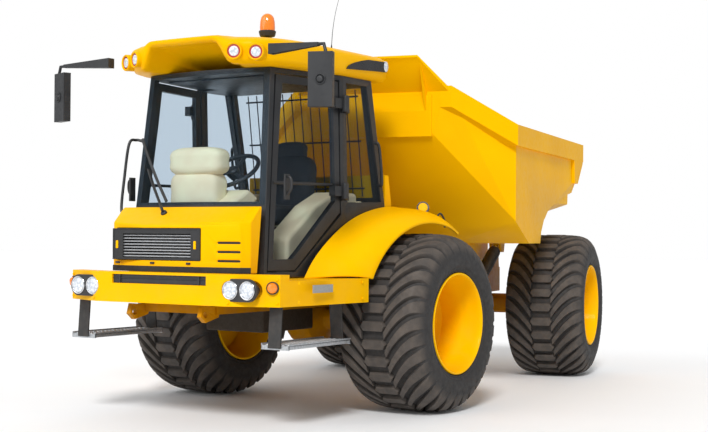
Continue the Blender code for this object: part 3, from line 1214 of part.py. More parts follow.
def build_truck():
    """Make the joints, then every piece on its body."""
    yellow = make_material("yellow_paint", (0.95, 0.58, 0.0), 0.35)
    rim_yellow = make_material("rim_paint", (0.90, 0.62, 0.02), 0.40)
    black = make_material("black_paint", (0.02, 0.02, 0.022), 0.45)
    plastic = make_material("black_plastic", (0.03, 0.03, 0.03), 0.6)
    rubber = make_material("tyre_rubber", (0.04, 0.035, 0.032), 0.85)
    glass = make_material("cab_glass", (0.35, 0.45, 0.48), 0.05, alpha=0.35)
    steel = make_material("bright_steel", (0.7, 0.7, 0.72), 0.25, 1.0)
    grey = make_material("grey_steel", (0.35, 0.36, 0.37), 0.5, 0.8)
    iron = make_material("cast_iron", (0.10, 0.10, 0.10), 0.6, 0.6)
    beige = make_material("beige_trim", (0.55, 0.50, 0.40), 0.7)
    amber = make_material("amber_lens", (0.9, 0.25, 0.02), 0.2)
    silver = make_material("grille_silver", (0.45, 0.46, 0.47), 0.4, 0.6)

    truck = Joint("truck", (0, 0, 0))
    half_track = TYRE_TRACK / 2
    for side in (LEFT, RIGHT):
        joint = Joint(f"front_wheel_joint_{SIDE_NAME[side]}", (side * half_track, 0, AXLE_HEIGHT), truck)
        build_wheel("front", side, joint, rim_yellow, rubber)
    build_axle("front_axle", 0.0, truck, yellow)
    build_front_frame(truck, yellow)
    build_bumper(truck, yellow)
    build_cowl(truck, yellow)
    build_grille(truck, silver)
    build_cab_shell(truck, black)
    build_roof(truck, yellow)
    build_windscreen(truck, glass)
    build_rear_window(truck, glass)
    build_engine_cover(truck, yellow)
    build_engine(truck, iron)
    build_seat(truck, beige)
    build_console(truck, beige)
    build_steering_wheel(truck, plastic)
    build_beacon(truck, amber)
    build_antenna(truck, plastic)
    for side in (LEFT, RIGHT):
        name = SIDE_NAME[side]
        hinge = Joint(f"door_joint_{name}", (side * (CAB_MID_HALF + DOOR_HINGE_OUT), door_hinge_y(), DOOR_SIDE_LOW), truck)
        build_door(side, hinge, black, glass)
        build_quarter_glass(side, truck, glass)
        build_headlamps(side, truck, steel)
        build_step(side, truck, grey)
        build_fender(side, truck, yellow)
        build_mirror(side, truck, plastic)
        foot, head = steer_ends(side)
        barrel = Joint(f"steer_barrel_joint_{name}", (*foot, STEER_HEIGHT), truck)
        slide = Joint(f"steer_rod_joint_{name}", (*head, STEER_HEIGHT), barrel)
        build_steer_cylinder(side, barrel, slide, black, steel)

    swing = Joint("articulation_joint", (0, PIVOT_Y, ROLL_HEIGHT), truck, REST_STEER)
    build_yoke(swing, black)
    roll = Joint("roll_joint", (0, REAR_RAIL_START, ROLL_HEIGHT), swing)
    build_rear_frame(roll, yellow)
    build_axle("rear_axle", WHEELBASE, roll, yellow)
    tip = Joint("tip_joint", (0, TIP_HINGE_Y, TIP_HINGE_Z), roll)
    build_dump_body(tip, yellow)
    for side in (LEFT, RIGHT):
        name = SIDE_NAME[side]
        joint = Joint(f"rear_wheel_joint_{name}", (side * half_track, WHEELBASE, AXLE_HEIGHT), roll)
        build_wheel("rear", side, joint, rim_yellow, rubber)
        barrel = Joint(f"tip_barrel_joint_{name}", (side * TIP_CYLINDER_X, *TIP_FOOT), roll)
        slide = Joint(f"tip_rod_joint_{name}", (side * TIP_CYLINDER_X, *TIP_HEAD), barrel)
        build_tip_cylinder(side, barrel, slide, black, steel)
    return truck


def stand_on_origin(truck):
    """Move the whole truck so that its box's bottom centre is the origin."""
    bpy.context.view_layer.update()
    corners = [obj.matrix_world @ vertex.co for obj in bpy.context.scene.objects if obj.type == "MESH"
               for vertex in obj.data.vertices]
    low = Vector([min(corner[i] for corner in corners) for i in range(3)])
    high = Vector([max(corner[i] for corner in corners) for i in range(3)])
    truck.empty.location = (-(low.x + high.x) / 2, -(low.y + high.y) / 2, -low.z)
    bpy.context.view_layer.update()


clear_scene()
stand_on_origin(build_truck())
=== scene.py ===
"""Articulated dump truck: the finished surface of every piece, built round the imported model."""

import json
import logging
import math
from collections.abc import Sequence
from dataclasses import dataclass, field
from enum import Enum

import bmesh
import bpy
import numpy as np
from mathutils import Matrix


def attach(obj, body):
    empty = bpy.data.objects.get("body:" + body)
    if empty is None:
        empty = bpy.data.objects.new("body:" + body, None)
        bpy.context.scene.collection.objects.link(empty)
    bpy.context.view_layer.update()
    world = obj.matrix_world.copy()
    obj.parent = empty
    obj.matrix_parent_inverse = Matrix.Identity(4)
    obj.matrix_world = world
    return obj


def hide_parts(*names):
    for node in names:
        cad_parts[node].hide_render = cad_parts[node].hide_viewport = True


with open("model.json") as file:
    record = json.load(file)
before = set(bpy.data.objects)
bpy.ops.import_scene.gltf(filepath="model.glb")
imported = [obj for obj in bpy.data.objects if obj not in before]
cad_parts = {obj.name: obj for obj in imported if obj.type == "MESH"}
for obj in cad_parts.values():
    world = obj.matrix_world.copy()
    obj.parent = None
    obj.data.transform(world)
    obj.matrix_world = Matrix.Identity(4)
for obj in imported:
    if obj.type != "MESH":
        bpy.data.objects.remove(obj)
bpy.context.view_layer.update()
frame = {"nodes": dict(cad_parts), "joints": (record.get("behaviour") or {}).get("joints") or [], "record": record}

LOG = logging.getLogger("dump_truck")
PIVOT_Y = 1.6  # the articulation pivot, from the front axle, in metres
AXLE_HEIGHT = 0.62
WHEEL_X = 0.965  # tyre centre, from the middle of the truck
REAR_AXLE_Y = 2.8
SIDES = {"left": 1.0, "right": -1.0}
ORIGIN = (0.0, 0.0, 0.0)
UP = (0.0, 0.0, 1.0)
AHEAD = (0.0, -1.0, 0.0)
WELD = 2e-5  # points this close are one
BEVEL_ANGLE = 28.0  # edges sharper than this are rounded, in degrees
FLAT_ANGLE = 0.6  # faces that meet flatter than this are one, in degrees


# ---------------------------------------------------------------- shapes


@dataclass(frozen=True)
class Shape:
    """Points and the faces that join them, as whole arrays.

    Args:
        points: (N, 3) places in metres.
        faces: arrays of (M, k) point numbers, one for each size of face.
    """

    points: np.ndarray
    faces: tuple[np.ndarray, ...]

    def moved(self, offset: Sequence[float]) -> "Shape":
        """The same shape, carried by offset."""
        return Shape(self.points + np.asarray(offset), self.faces)

    def turned(self, axis: str, degrees: float, about: Sequence[float] = ORIGIN) -> "Shape":
        """The same shape turned by degrees about the X, Y or Z axis through the point about."""
        turn = np.array(Matrix.Rotation(math.radians(degrees), 3, axis))
        return Shape((self.points - about) @ turn.T + about, self.faces)

    def flipped(self, side: float) -> "Shape":
        """The shape for the side given by its sign: 1 as it is, -1 mirrored across the middle."""
        return Shape(self.points * (side, 1, 1), self.faces)

    def at(self, places: np.ndarray) -> "Shape":
        """Copies of the shape as one shape, a copy at each of the (C, 3) places."""
        return stacked(self.points[None] + np.asarray(places, float)[:, None], self.faces)


def stacked(points: np.ndarray, faces: Sequence[np.ndarray]) -> Shape:
    """Copies that share one way of joining their points.

    Args:
        points: (C, N, 3) points of each copy.
        faces: the faces of one copy.

    Returns:
        One shape; copy c's point numbers are one copy's, plus c times N.
    """
    count, size = points.shape[:2]
    step = (np.arange(count) * size)[:, None, None]
    return Shape(points.reshape(-1, 3), tuple((f[None] + step).reshape(-1, f.shape[1]) for f in faces))


def merged(shapes: Sequence[Shape]) -> Shape:
    """Several shapes as one, each one's point numbers moved past those before it.

    Args:
        shapes: the shapes, in the order their points will have.

    Returns:
        The one shape.
    """
    starts = np.cumsum([0] + [len(s.points) for s in shapes])
    return Shape(
        np.concatenate([s.points for s in shapes]),
        tuple(f + start for s, start in zip(shapes, starts) for f in s.faces),
    )


def grid(points: np.ndarray, wrap_u: bool = False, wrap_v: bool = False) -> Shape:
    """A surface of two parameters: the point at (u, v) joins those at u + 1 and v + 1.

    Args:
        points: (U, V, 3) places.
        wrap_u: join the last row to the first.
        wrap_v: join the last column to the first.

    Returns:
        The surface in four-sided faces.
    """
    rows, columns = points.shape[:2]
    u = np.arange(rows if wrap_u else rows - 1)[:, None]
    v = np.arange(columns if wrap_v else columns - 1)[None]
    u_next, v_next = (u + 1) % rows, (v + 1) % columns
    corners = [u * columns + v, u_next * columns + v, u_next * columns + v_next, u * columns + v_next]
    return Shape(points.reshape(-1, 3), (np.stack(corners, -1).reshape(-1, 4),))


def loft(rings: np.ndarray) -> Shape:
    """A closed skin over loops of points, with a flat cap on the first and the last.

    Args:
        rings: (K, N, 3) loops.

    Returns:
        The closed shape.
    """
    count, size = rings.shape[:2]
    caps = np.array([np.arange(size)[::-1], (count - 1) * size + np.arange(size)])
    skin = grid(rings, wrap_v=True)
    return Shape(skin.points, (*skin.faces, caps))


def prism(outline: Sequence[tuple[float, float]], low: float, high: float, axis: int = 2) -> Shape:
    """A flat outline carried straight along one axis.

    Args:
        outline: corners, in the two axes that follow the carrying one: for 2 X and Y, for 0 Y and Z,
            for 1 Z and X.
        low: where it starts.
        high: where it ends.
        axis: 0, 1 or 2, the axis it is carried along.

    Returns:
        The closed shape.
    """
    flat = np.asarray(outline, float)
    rings = np.empty((2, len(flat), 3))
    rings[..., (axis + 1) % 3] = flat[:, 0]
    rings[..., (axis + 2) % 3] = flat[:, 1]
    rings[..., axis] = [[low], [high]]
    return loft(rings)


def block(low: Sequence[float], high: Sequence[float]) -> Shape:
    """A box from its lowest to its highest corner; its edges are rounded when it is made."""
    (x0, y0, z0), (x1, y1, z1) = low, high
    return prism([(x0, y0), (x1, y0), (x1, y1), (x0, y1)], z0, z1)


def across(axis: Sequence[float]) -> tuple[np.ndarray, np.ndarray, np.ndarray]:
    """Three unit vectors: the axis, and two square to it and to each other.

    Args:
        axis: a direction of any length.

    Returns:
        The unit axis and the two others.
    """
    along = np.asarray(axis, float) / np.linalg.norm(axis)
    side = np.cross(along, UP if abs(along[2]) < 0.9 else (1, 0, 0))
    side /= np.linalg.norm(side)
    return along, side, np.cross(along, side)


def revolved(
    profile: Sequence[tuple[float, float]],
    centre: Sequence[float],
    axis: Sequence[float],
    steps: int = 48,
    closed: bool = False,
) -> Shape:
    """A profile turned about an axis: centre + axis * a + r * (cos t * side + sin t * up).

    Args:
        profile: (a, r) pairs, the place along the axis and the distance from it.
        centre: a point on the axis, where a is 0.
        axis: its direction.
        steps: how many turns make a whole circle.
        closed: join the profile's last pair to its first.

    Returns:
        The surface; an end with r = 0 closes to a point.
    """
    along, side, up = across(axis)
    turn = np.linspace(0, 2 * math.pi, steps, endpoint=False)[:, None, None]
    a, r = np.asarray(profile, float).T[:, None, :, None]
    points = np.asarray(centre) + along * a + r * (np.cos(turn) * side + np.sin(turn) * up)
    return grid(points, wrap_u=True, wrap_v=closed)


def curved(corners: Sequence[Sequence[float]], per_span: int = 8) -> np.ndarray:
    """A smooth path through its corners.

    Each span is the cubic whose slope at a corner is half the step between that corner's neighbours.

    Args:
        corners: (K, 3) points that it passes.
        per_span: points made for each span.

    Returns:
        ((K - 1) * per_span + 1, 3) points.
    """
    p = np.asarray(corners, float)
    padded = np.concatenate([[2 * p[0] - p[1]], p, [2 * p[-1] - p[-2]]])
    a, b, c, d = (padded[i : len(p) - 1 + i, None] for i in range(4))
    t = np.linspace(0, 1, per_span, endpoint=False)[None, :, None]
    square, cube = a - 2.5 * b + 2 * c - d / 2, 1.5 * (b - c) + (d - a) / 2
    spans = b + (c - a) * t / 2 + square * t**2 + cube * t**3
    return np.concatenate([spans.reshape(-1, 3), p[-1:]])


def tube(
    path: np.ndarray,
    radius: float | np.ndarray,
    sides: int = 12,
    up: Sequence[float] = (0.13, 0.21, 0.97),
    squash: float = 1.0,
) -> Shape:
    """A round bar along a path: at each point, a circle square to the path's direction there.

    Args:
        path: (K, 3) points.
        radius: one for all, or one for each point.
        sides: points round the bar.
        up: a direction that the path never takes, which sets how the circles are turned.
        squash: the circle's height as a part of its width.

    Returns:
        The bar, capped at both ends.
    """
    path = np.asarray(path, float)
    ahead = np.gradient(path, axis=0)
    ahead /= np.linalg.norm(ahead, axis=1, keepdims=True)
    side = np.cross(ahead, up)
    side /= np.linalg.norm(side, axis=1, keepdims=True)
    over = np.cross(side, ahead)
    size = np.broadcast_to(np.asarray(radius, float), len(path))[:, None, None]
    turn = np.linspace(0, 2 * math.pi, sides, endpoint=False)[None, :, None]
    return loft(path[:, None] + size * (np.cos(turn) * side[:, None] + squash * np.sin(turn) * over[:, None]))


def bolt(centre: Sequence[float], axis: Sequence[float], size: float) -> Shape:
    """A washer and a six-sided bolt head with a bevelled top, standing on centre along axis.

    Args:
        centre: the middle of the washer's foot.
        axis: the way it stands.
        size: half the head's width.

    Returns:
        The shape.
    """
    washer = [(0, 0), (0, 1.25), (0.16, 1.25), (0.22, 1.15), (0.22, 0)]
    head = [(0.2, 0), (0.2, 1.0), (0.75, 1.0), (0.9, 0.82), (0.9, 0)]
    return merged(
        [
            revolved(np.array(washer) * size, centre, axis, 20),
            revolved(np.array(head) * size, centre, axis, 6),
        ]
    )


def ring(
    outer: Sequence[tuple[float, float]],
    inner: Sequence[tuple[float, float]],
    low: float,
    high: float,
    axis: int,
) -> Shape:
    """A flat frame between two outlines with as many corners, carried straight along one axis.

    Args:
        outer: the outer corners, in the two axes that follow the carrying one.
        inner: the inner corners, in the same order.
        low: where it starts.
        high: where it ends.
        axis: 0, 1 or 2.

    Returns:
        The closed frame.
    """
    loops = np.empty((4, len(outer), 3))
    loops[..., [(axis + 1) % 3, (axis + 2) % 3]] = [outer, outer, inner, inner]
    loops[..., axis] = np.array([low, high, high, low])[:, None]
    return grid(loops, wrap_u=True, wrap_v=True)


def oblong(low: tuple[float, float], high: tuple[float, float]) -> list[tuple[float, float]]:
    """The four corners of an upright rectangle."""
    return [low, (high[0], low[1]), high, (low[0], high[1])]


def pillow(
    centre: Sequence[float], size: Sequence[float], square: float = 0.45, pinch: float = 0.05
) -> Shape:
    """A stuffed pad: an oval solid squared off at its corners, whose sides pull in between them.

    The point at angles (t, p) is size times (cos p ^ square cos t ^ square, cos p ^ square sin t ^ square,
    sin p ^ square), each power keeping its sign, less a pull of pinch where the sides are straight.

    Args:
        centre: its middle.
        size: half its width, depth and height.
        square: 1 for an oval, towards 0 for a box.
        pinch: how far the sides pull in, as a part of their distance.

    Returns:
        The closed pad.
    """
    t = np.linspace(0, 2 * math.pi, 64, endpoint=False)[:, None]
    p = np.linspace(-math.pi / 2, math.pi / 2, 33)[None]

    def power(value: np.ndarray) -> np.ndarray:
        """The value to the square-th power, with its sign kept."""
        return np.sign(value) * np.abs(value) ** square

    pull = 1 - pinch * np.cos(2 * t) ** 2 * np.cos(p) ** 2
    x = power(np.cos(p)) * power(np.cos(t)) * pull
    y = power(np.cos(p)) * power(np.sin(t)) * pull
    z = np.broadcast_to(power(np.sin(p)), x.shape)
    seam = 1 - 0.03 * np.exp(-((p / 0.09) ** 2))
    points = np.stack([x * seam, y * seam, z], -1) * np.asarray(size) + np.asarray(centre)
    return grid(points, wrap_u=True)


# ---------------------------------------------------------------- where things are


@dataclass(frozen=True)
class UnitFrame:
    """One half of the truck, measured from its own middle line, and where that half stands at rest.

    Args:
        origin: the place of the unit's zero point.
        right: the direction of its X axis, as (x, y).
    """

    origin: tuple[float, float, float]
    right: tuple[float, float]

    def place(self, points: np.ndarray) -> np.ndarray:
        """Points of the unit, moved to where they stand: origin + x * right + y * forward.

        Args:
            points: rows of X, Y and Z in the unit's own frame.

        Returns:
            The same rows in the scene.
        """
        cos, sin = self.right
        turn = np.array([[cos, -sin, 0], [sin, cos, 0], [0, 0, 1]])
        return np.asarray(points) @ turn.T + self.origin


def joint(name: str) -> dict:
    """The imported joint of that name."""
    return next(j for j in frame["joints"] if j["name"] == name)


def unit_frames() -> tuple[UnitFrame, UnitFrame]:
    """The front and the rear unit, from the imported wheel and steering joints.

    Returns:
        The front unit and the rear unit.
    """
    wheel = np.array(joint("front_wheel_left_spin")["pos_m"])
    origin = wheel - (WHEEL_X, 0, AXLE_HEIGHT)
    pivot = np.array(joint("steering")["pos_m"])
    cos, sin = joint("rear_wheel_left_spin")["axis"][:2]
    rear = (pivot[0] + sin * PIVOT_Y, pivot[1] - cos * PIVOT_Y, origin[2])
    return UnitFrame(tuple(origin), (1.0, 0.0)), UnitFrame(rear, (cos, sin))


FRONT, REAR = unit_frames()


# ---------------------------------------------------------------- finishes


class Sheet:
    """A material being made: a shader with its output, and short calls for the nodes that feed it."""

    def __init__(self, name: str) -> None:
        """Starts an empty material of that name.

        Args:
            name: the material's name.
        """
        self.material = bpy.data.materials.new(name)
        self.material.use_nodes = True
        self.tree = self.material.node_tree
        self.shader = self.tree.nodes["Principled BSDF"]
        self.place = self.tree.nodes.new("ShaderNodeTexCoord").outputs["Object"]

    def noise(
        self, scale: float, detail: float = 3.0, stretch: Sequence[float] = (1, 1, 1)
    ) -> bpy.types.NodeSocket:
        """Cloudy noise on the object's own coordinates.

        Args:
            scale: blotches per metre.
            detail: how many finer layers it holds.
            stretch: a factor on each axis.

        Returns:
            The socket with values from 0 to 1.
        """
        mapping = self.tree.nodes.new("ShaderNodeMapping")
        mapping.inputs["Scale"].default_value = stretch
        self.tree.links.new(self.place, mapping.inputs["Vector"])
        node = self.tree.nodes.new("ShaderNodeTexNoise")
        node.inputs["Scale"].default_value = scale
        node.inputs["Detail"].default_value = detail
        self.tree.links.new(mapping.outputs[0], node.inputs["Vector"])
        return node.outputs["Fac"]

    def cells(self, scale: float) -> bpy.types.NodeSocket:
        """Distance to the nearest cell point, with that many cells per metre.

        Args:
            scale: cells per metre.

        Returns:
            The distance.
        """
        node = self.tree.nodes.new("ShaderNodeTexVoronoi")
        node.inputs["Scale"].default_value = scale
        self.tree.links.new(self.place, node.inputs["Vector"])
        return node.outputs["Distance"]

    def height(self, low: float, high: float) -> bpy.types.NodeSocket:
        """1 at and below the height low, falling to 0 at the height high.

        Args:
            low: in metres above the ground.
            high: in metres above the ground.

        Returns:
            The value.
        """
        split = self.tree.nodes.new("ShaderNodeSeparateXYZ")
        self.tree.links.new(self.place, split.inputs[0])
        return self.spread(split.outputs["Z"], (low, high), (1.0, 0.0))

    def spread(
        self, value: bpy.types.NodeSocket, between: tuple[float, float], to: tuple[float, float]
    ) -> bpy.types.NodeSocket:
        """A value mapped in a straight line from one range to another, and held inside it.

        Args:
            value: what is mapped.
            between: the range it comes from.
            to: the range it goes to.

        Returns:
            The mapped value.
        """
        node = self.tree.nodes.new("ShaderNodeMapRange")
        node.inputs["From Min"].default_value, node.inputs["From Max"].default_value = between
        node.inputs["To Min"].default_value, node.inputs["To Max"].default_value = to
        self.tree.links.new(value, node.inputs["Value"])
        return node.outputs["Result"]

    def times(self, first: bpy.types.NodeSocket, second: bpy.types.NodeSocket) -> bpy.types.NodeSocket:
        """Two values multiplied.

        Args:
            first: a value.
            second: a value.

        Returns:
            The product.
        """
        node = self.tree.nodes.new("ShaderNodeMath")
        node.operation = "MULTIPLY"
        self.tree.links.new(first, node.inputs[0])
        self.tree.links.new(second, node.inputs[1])
        return node.outputs[0]

    def mixed(
        self,
        factor: bpy.types.NodeSocket,
        first: Sequence[float] | bpy.types.NodeSocket,
        second: Sequence[float],
    ) -> bpy.types.NodeSocket:
        """A colour between two, by a factor from 0 to 1.

        Args:
            factor: 0 gives the first, 1 the second.
            first: a colour, or a socket that gives one.
            second: a colour.

        Returns:
            The mixed colour.
        """
        node = self.tree.nodes.new("ShaderNodeMix")
        node.data_type = "RGBA"
        self.tree.links.new(factor, node.inputs[0])
        if isinstance(first, bpy.types.NodeSocket):
            self.tree.links.new(first, node.inputs[6])
        else:
            node.inputs[6].default_value = (*first, 1)
        node.inputs[7].default_value = (*second, 1)
        return node.outputs[2]

    def bump(self, height: bpy.types.NodeSocket, distance: float, strength: float = 1.0) -> None:
        """Raises the surface where height is 1; a second call adds to the first.

        Args:
            height: the height of each point, 0 to 1.
            distance: how far a height of 1 stands up, in metres.
            strength: how much of the bump shows, 0 to 1.
        """
        node = self.tree.nodes.new("ShaderNodeBump")
        node.inputs["Distance"].default_value = distance
        node.inputs["Strength"].default_value = strength
        self.tree.links.new(height, node.inputs["Height"])
        before = self.shader.inputs["Normal"].links
        if before:
            self.tree.links.new(before[0].from_socket, node.inputs["Normal"])
        self.feed("Normal", node.outputs[0])

    def see_through(self, tint: Sequence[float], cover: float) -> None:
        """Lets what is behind show, coloured by tint, with the shader laid over it by cover.

        Args:
            tint: the colour what is behind takes on.
            cover: the shader's share, 0 to 1.
        """
        clear = self.tree.nodes.new("ShaderNodeBsdfTransparent")
        clear.inputs["Color"].default_value = (*tint, 1)
        mix = self.tree.nodes.new("ShaderNodeMixShader")
        mix.inputs[0].default_value = cover
        self.tree.links.new(clear.outputs[0], mix.inputs[1])
        self.tree.links.new(self.shader.outputs[0], mix.inputs[2])
        self.tree.links.new(mix.outputs[0], self.tree.nodes["Material Output"].inputs["Surface"])

    def feed(self, socket: str, value: bpy.types.NodeSocket) -> None:
        """Links a value to one of the shader's sockets."""
        self.tree.links.new(value, self.shader.inputs[socket])

    def set(self, **values: float | tuple[float, ...]) -> None:
        """Sets shader sockets, named with _ for a space and in any case.

        Args:
            values: a number or a colour for each socket.
        """
        names = {s.name.lower().replace(" ", "_"): s for s in self.shader.inputs}
        for key, value in values.items():
            names[key].default_value = value


@dataclass(frozen=True)
class Paint:
    """Sprayed paint: a slight orange peel, slow shifts of tone, and road dust low down.

    Args:
        name: the material's name.
        colour: the clean colour.
        shade: the colour of the darker patches.
        dust: how strongly the dust shows, from 0 to 1.
        roughness: the middle roughness.
        coat: how strong the clear coat is.
        glint: the tint of its plain reflections.
    """

    name: str
    colour: tuple[float, float, float]
    shade: tuple[float, float, float]
    dust: float = 0.25
    roughness: float = 0.44
    coat: float = 0.02
    glint: tuple[float, float, float] = (1.0, 0.62, 0.08)

    def build(self) -> bpy.types.Material:
        """Makes the material.

        Returns:
            The material.
        """
        sheet = Sheet(self.name)
        tone = sheet.mixed(sheet.spread(sheet.noise(1.7, 5), (0.35, 0.7), (0, 1)), self.colour, self.shade)
        grime = sheet.times(
            sheet.height(0.15, 1.25), sheet.spread(sheet.noise(9, 6), (0.42, 0.75), (0, self.dust))
        )
        sheet.feed("Base Color", sheet.mixed(grime, tone, (0.30, 0.22, 0.13)))
        around = (self.roughness - 0.07, self.roughness + 0.1)
        sheet.feed("Roughness", sheet.spread(sheet.noise(23, 4), (0.3, 0.7), around))
        sheet.bump(sheet.noise(420, 2), 0.0003, 0.35)
        sheet.set(
            coat_weight=self.coat,
            coat_roughness=0.12,
            specular_ior_level=0.14,
            specular_tint=(*self.glint, 1),
        )
        return sheet.material


@dataclass(frozen=True)
class Plastic:
    """Moulded or powder-coated black: a fine grain and a little dust.

    Args:
        name: the material's name.
        colour: the clean colour.
        grain: grains per metre.
        depth: how deep the grain is, in metres.
        roughness: the middle roughness.
    """

    name: str
    colour: tuple[float, float, float] = (0.017, 0.018, 0.02)
    grain: float = 900.0
    depth: float = 0.0004
    roughness: float = 0.46

    def build(self) -> bpy.types.Material:
        """Makes the material.

        Returns:
            The material.
        """
        sheet = Sheet(self.name)
        pale = tuple(min(1.0, c * 1.25 + 0.01) for c in self.colour)
        tone = sheet.mixed(sheet.spread(sheet.noise(6, 5), (0.4, 0.75), (0, 0.8)), self.colour, pale)
        low = sheet.times(sheet.height(0.2, 1.1), sheet.spread(sheet.noise(14, 5), (0.4, 0.7), (0, 0.35)))
        sheet.feed("Base Color", sheet.mixed(low, tone, (0.16, 0.12, 0.09)))
        around = (self.roughness - 0.08, self.roughness + 0.12)
        sheet.feed("Roughness", sheet.spread(sheet.noise(40, 3), (0.3, 0.7), around))
        sheet.bump(sheet.cells(self.grain), self.depth, 0.5)
        return sheet.material


@dataclass(frozen=True)
class Rubber:
    """Tyre rubber: near black on the wall, brown with dry dust on the tread, and darker down in the grooves as
    painted shade.

    Args:
        name: the material's name.
        colour: clean rubber.
        dusty: the dust on it.
    """

    name: str
    colour: tuple[float, float, float] = (0.020, 0.0195, 0.020)
    dusty: tuple[float, float, float] = (0.105, 0.085, 0.070)

    def build(self) -> bpy.types.Material:
        """Makes the material: the piece's tread attribute says how dusty each point is, and its lower value in the
        grooves between the lugs is painted shade.

        Returns:
            The material.
        """
        sheet = Sheet(self.name)
        tread = sheet.tree.nodes.new("ShaderNodeAttribute")
        tread.attribute_name = "tread"
        patches = sheet.spread(sheet.noise(11, 7), (0.3, 0.72), (0.35, 1.0))
        # the tread attribute puts dust on the lug tops and keeps the grooves dark: painted shade where the lugs
        # block the light
        dust = sheet.times(tread.outputs["Fac"], patches)
        sheet.feed("Base Color", sheet.mixed(dust, self.colour, self.dusty))
        sheet.feed("Roughness", sheet.spread(sheet.noise(30, 5), (0.3, 0.7), (0.62, 0.88)))
        sheet.bump(sheet.noise(160, 6), 0.0016, 0.6)
        sheet.bump(sheet.noise(1100, 2), 0.0004, 0.5)
        return sheet.material


@dataclass(frozen=True)
class Metal:
    """Bare, plated or cast metal.

    Args:
        name: the material's name.
        colour: the lighter tone.
        shade: the darker tone.
        spangle: crystals or pits per metre.
        depth: how deep they are, in metres.
        roughness: the lowest and the highest roughness.
        metallic: 1 for bare metal.
    """

    name: str
    colour: tuple[float, float, float]
    shade: tuple[float, float, float]
    spangle: float = 90.0
    depth: float = 0.0002
    roughness: tuple[float, float] = (0.25, 0.5)
    metallic: float = 1.0

    def build(self) -> bpy.types.Material:
        """Makes the material.

        Returns:
            The material.
        """
        sheet = Sheet(self.name)
        cells = sheet.cells(self.spangle)
        sheet.feed(
            "Base Color", sheet.mixed(sheet.spread(cells, (0.1, 0.9), (0, 1)), self.colour, self.shade)
        )
        sheet.feed("Roughness", sheet.spread(sheet.noise(35, 5), (0.3, 0.7), self.roughness))
        sheet.bump(sheet.noise(self.spangle * 6, 3), self.depth, 0.5)
        sheet.set(metallic=self.metallic)
        return sheet.material


@dataclass(frozen=True)
class Glass:
    """A tinted pane, seen through.

    Args:
        name: the material's name.
        tint: the colour that one face gives to what is behind it.
        haze: the colour of the film on it.
        cover: how much the film hides, from 0 to 1.
        roughness: the middle roughness.
    """

    name: str
    tint: tuple[float, float, float]
    haze: tuple[float, float, float]
    cover: float
    roughness: float = 0.05

    def build(self) -> bpy.types.Material:
        """Makes the material.

        Returns:
            The material.
        """
        sheet = Sheet(self.name)
        deep = tuple(c * 0.75 for c in self.haze)
        sheet.feed(
            "Base Color", sheet.mixed(sheet.spread(sheet.noise(3, 4), (0.35, 0.7), (0, 1)), self.haze, deep)
        )
        around = (self.roughness - 0.02, self.roughness + 0.06)
        sheet.feed("Roughness", sheet.spread(sheet.noise(17, 5), (0.35, 0.75), around))
        sheet.bump(sheet.noise(5, 1), 0.0008, 0.15)
        sheet.set(specular_ior_level=0.35)
        sheet.see_through(self.tint, self.cover)
        return sheet.material


@dataclass(frozen=True)
class Lens:
    """A bright or coloured lamp lens with fine ribs.

    Args:
        name: the material's name.
        colour: its colour.
        shade: its darker tone.
        ribs: ribs per metre.
        glow: how much light it gives back by itself.
    """

    name: str
    colour: tuple[float, float, float]
    shade: tuple[float, float, float]
    ribs: float = 260.0
    glow: float = 0.0

    def build(self) -> bpy.types.Material:
        """Makes the material.

        Returns:
            The material.
        """
        sheet = Sheet(self.name)
        sheet.feed(
            "Base Color",
            sheet.mixed(sheet.spread(sheet.cells(self.ribs), (0, 0.8), (0, 1)), self.colour, self.shade),
        )
        sheet.feed("Roughness", sheet.spread(sheet.noise(60, 2), (0.3, 0.7), (0.06, 0.18)))
        sheet.bump(sheet.cells(self.ribs), 0.0008, 0.5)
        sheet.set(coat_weight=0.8, coat_roughness=0.04)
        if self.glow:
            sheet.set(emission_color=(*self.colour, 1), emission_strength=self.glow)
        return sheet.material


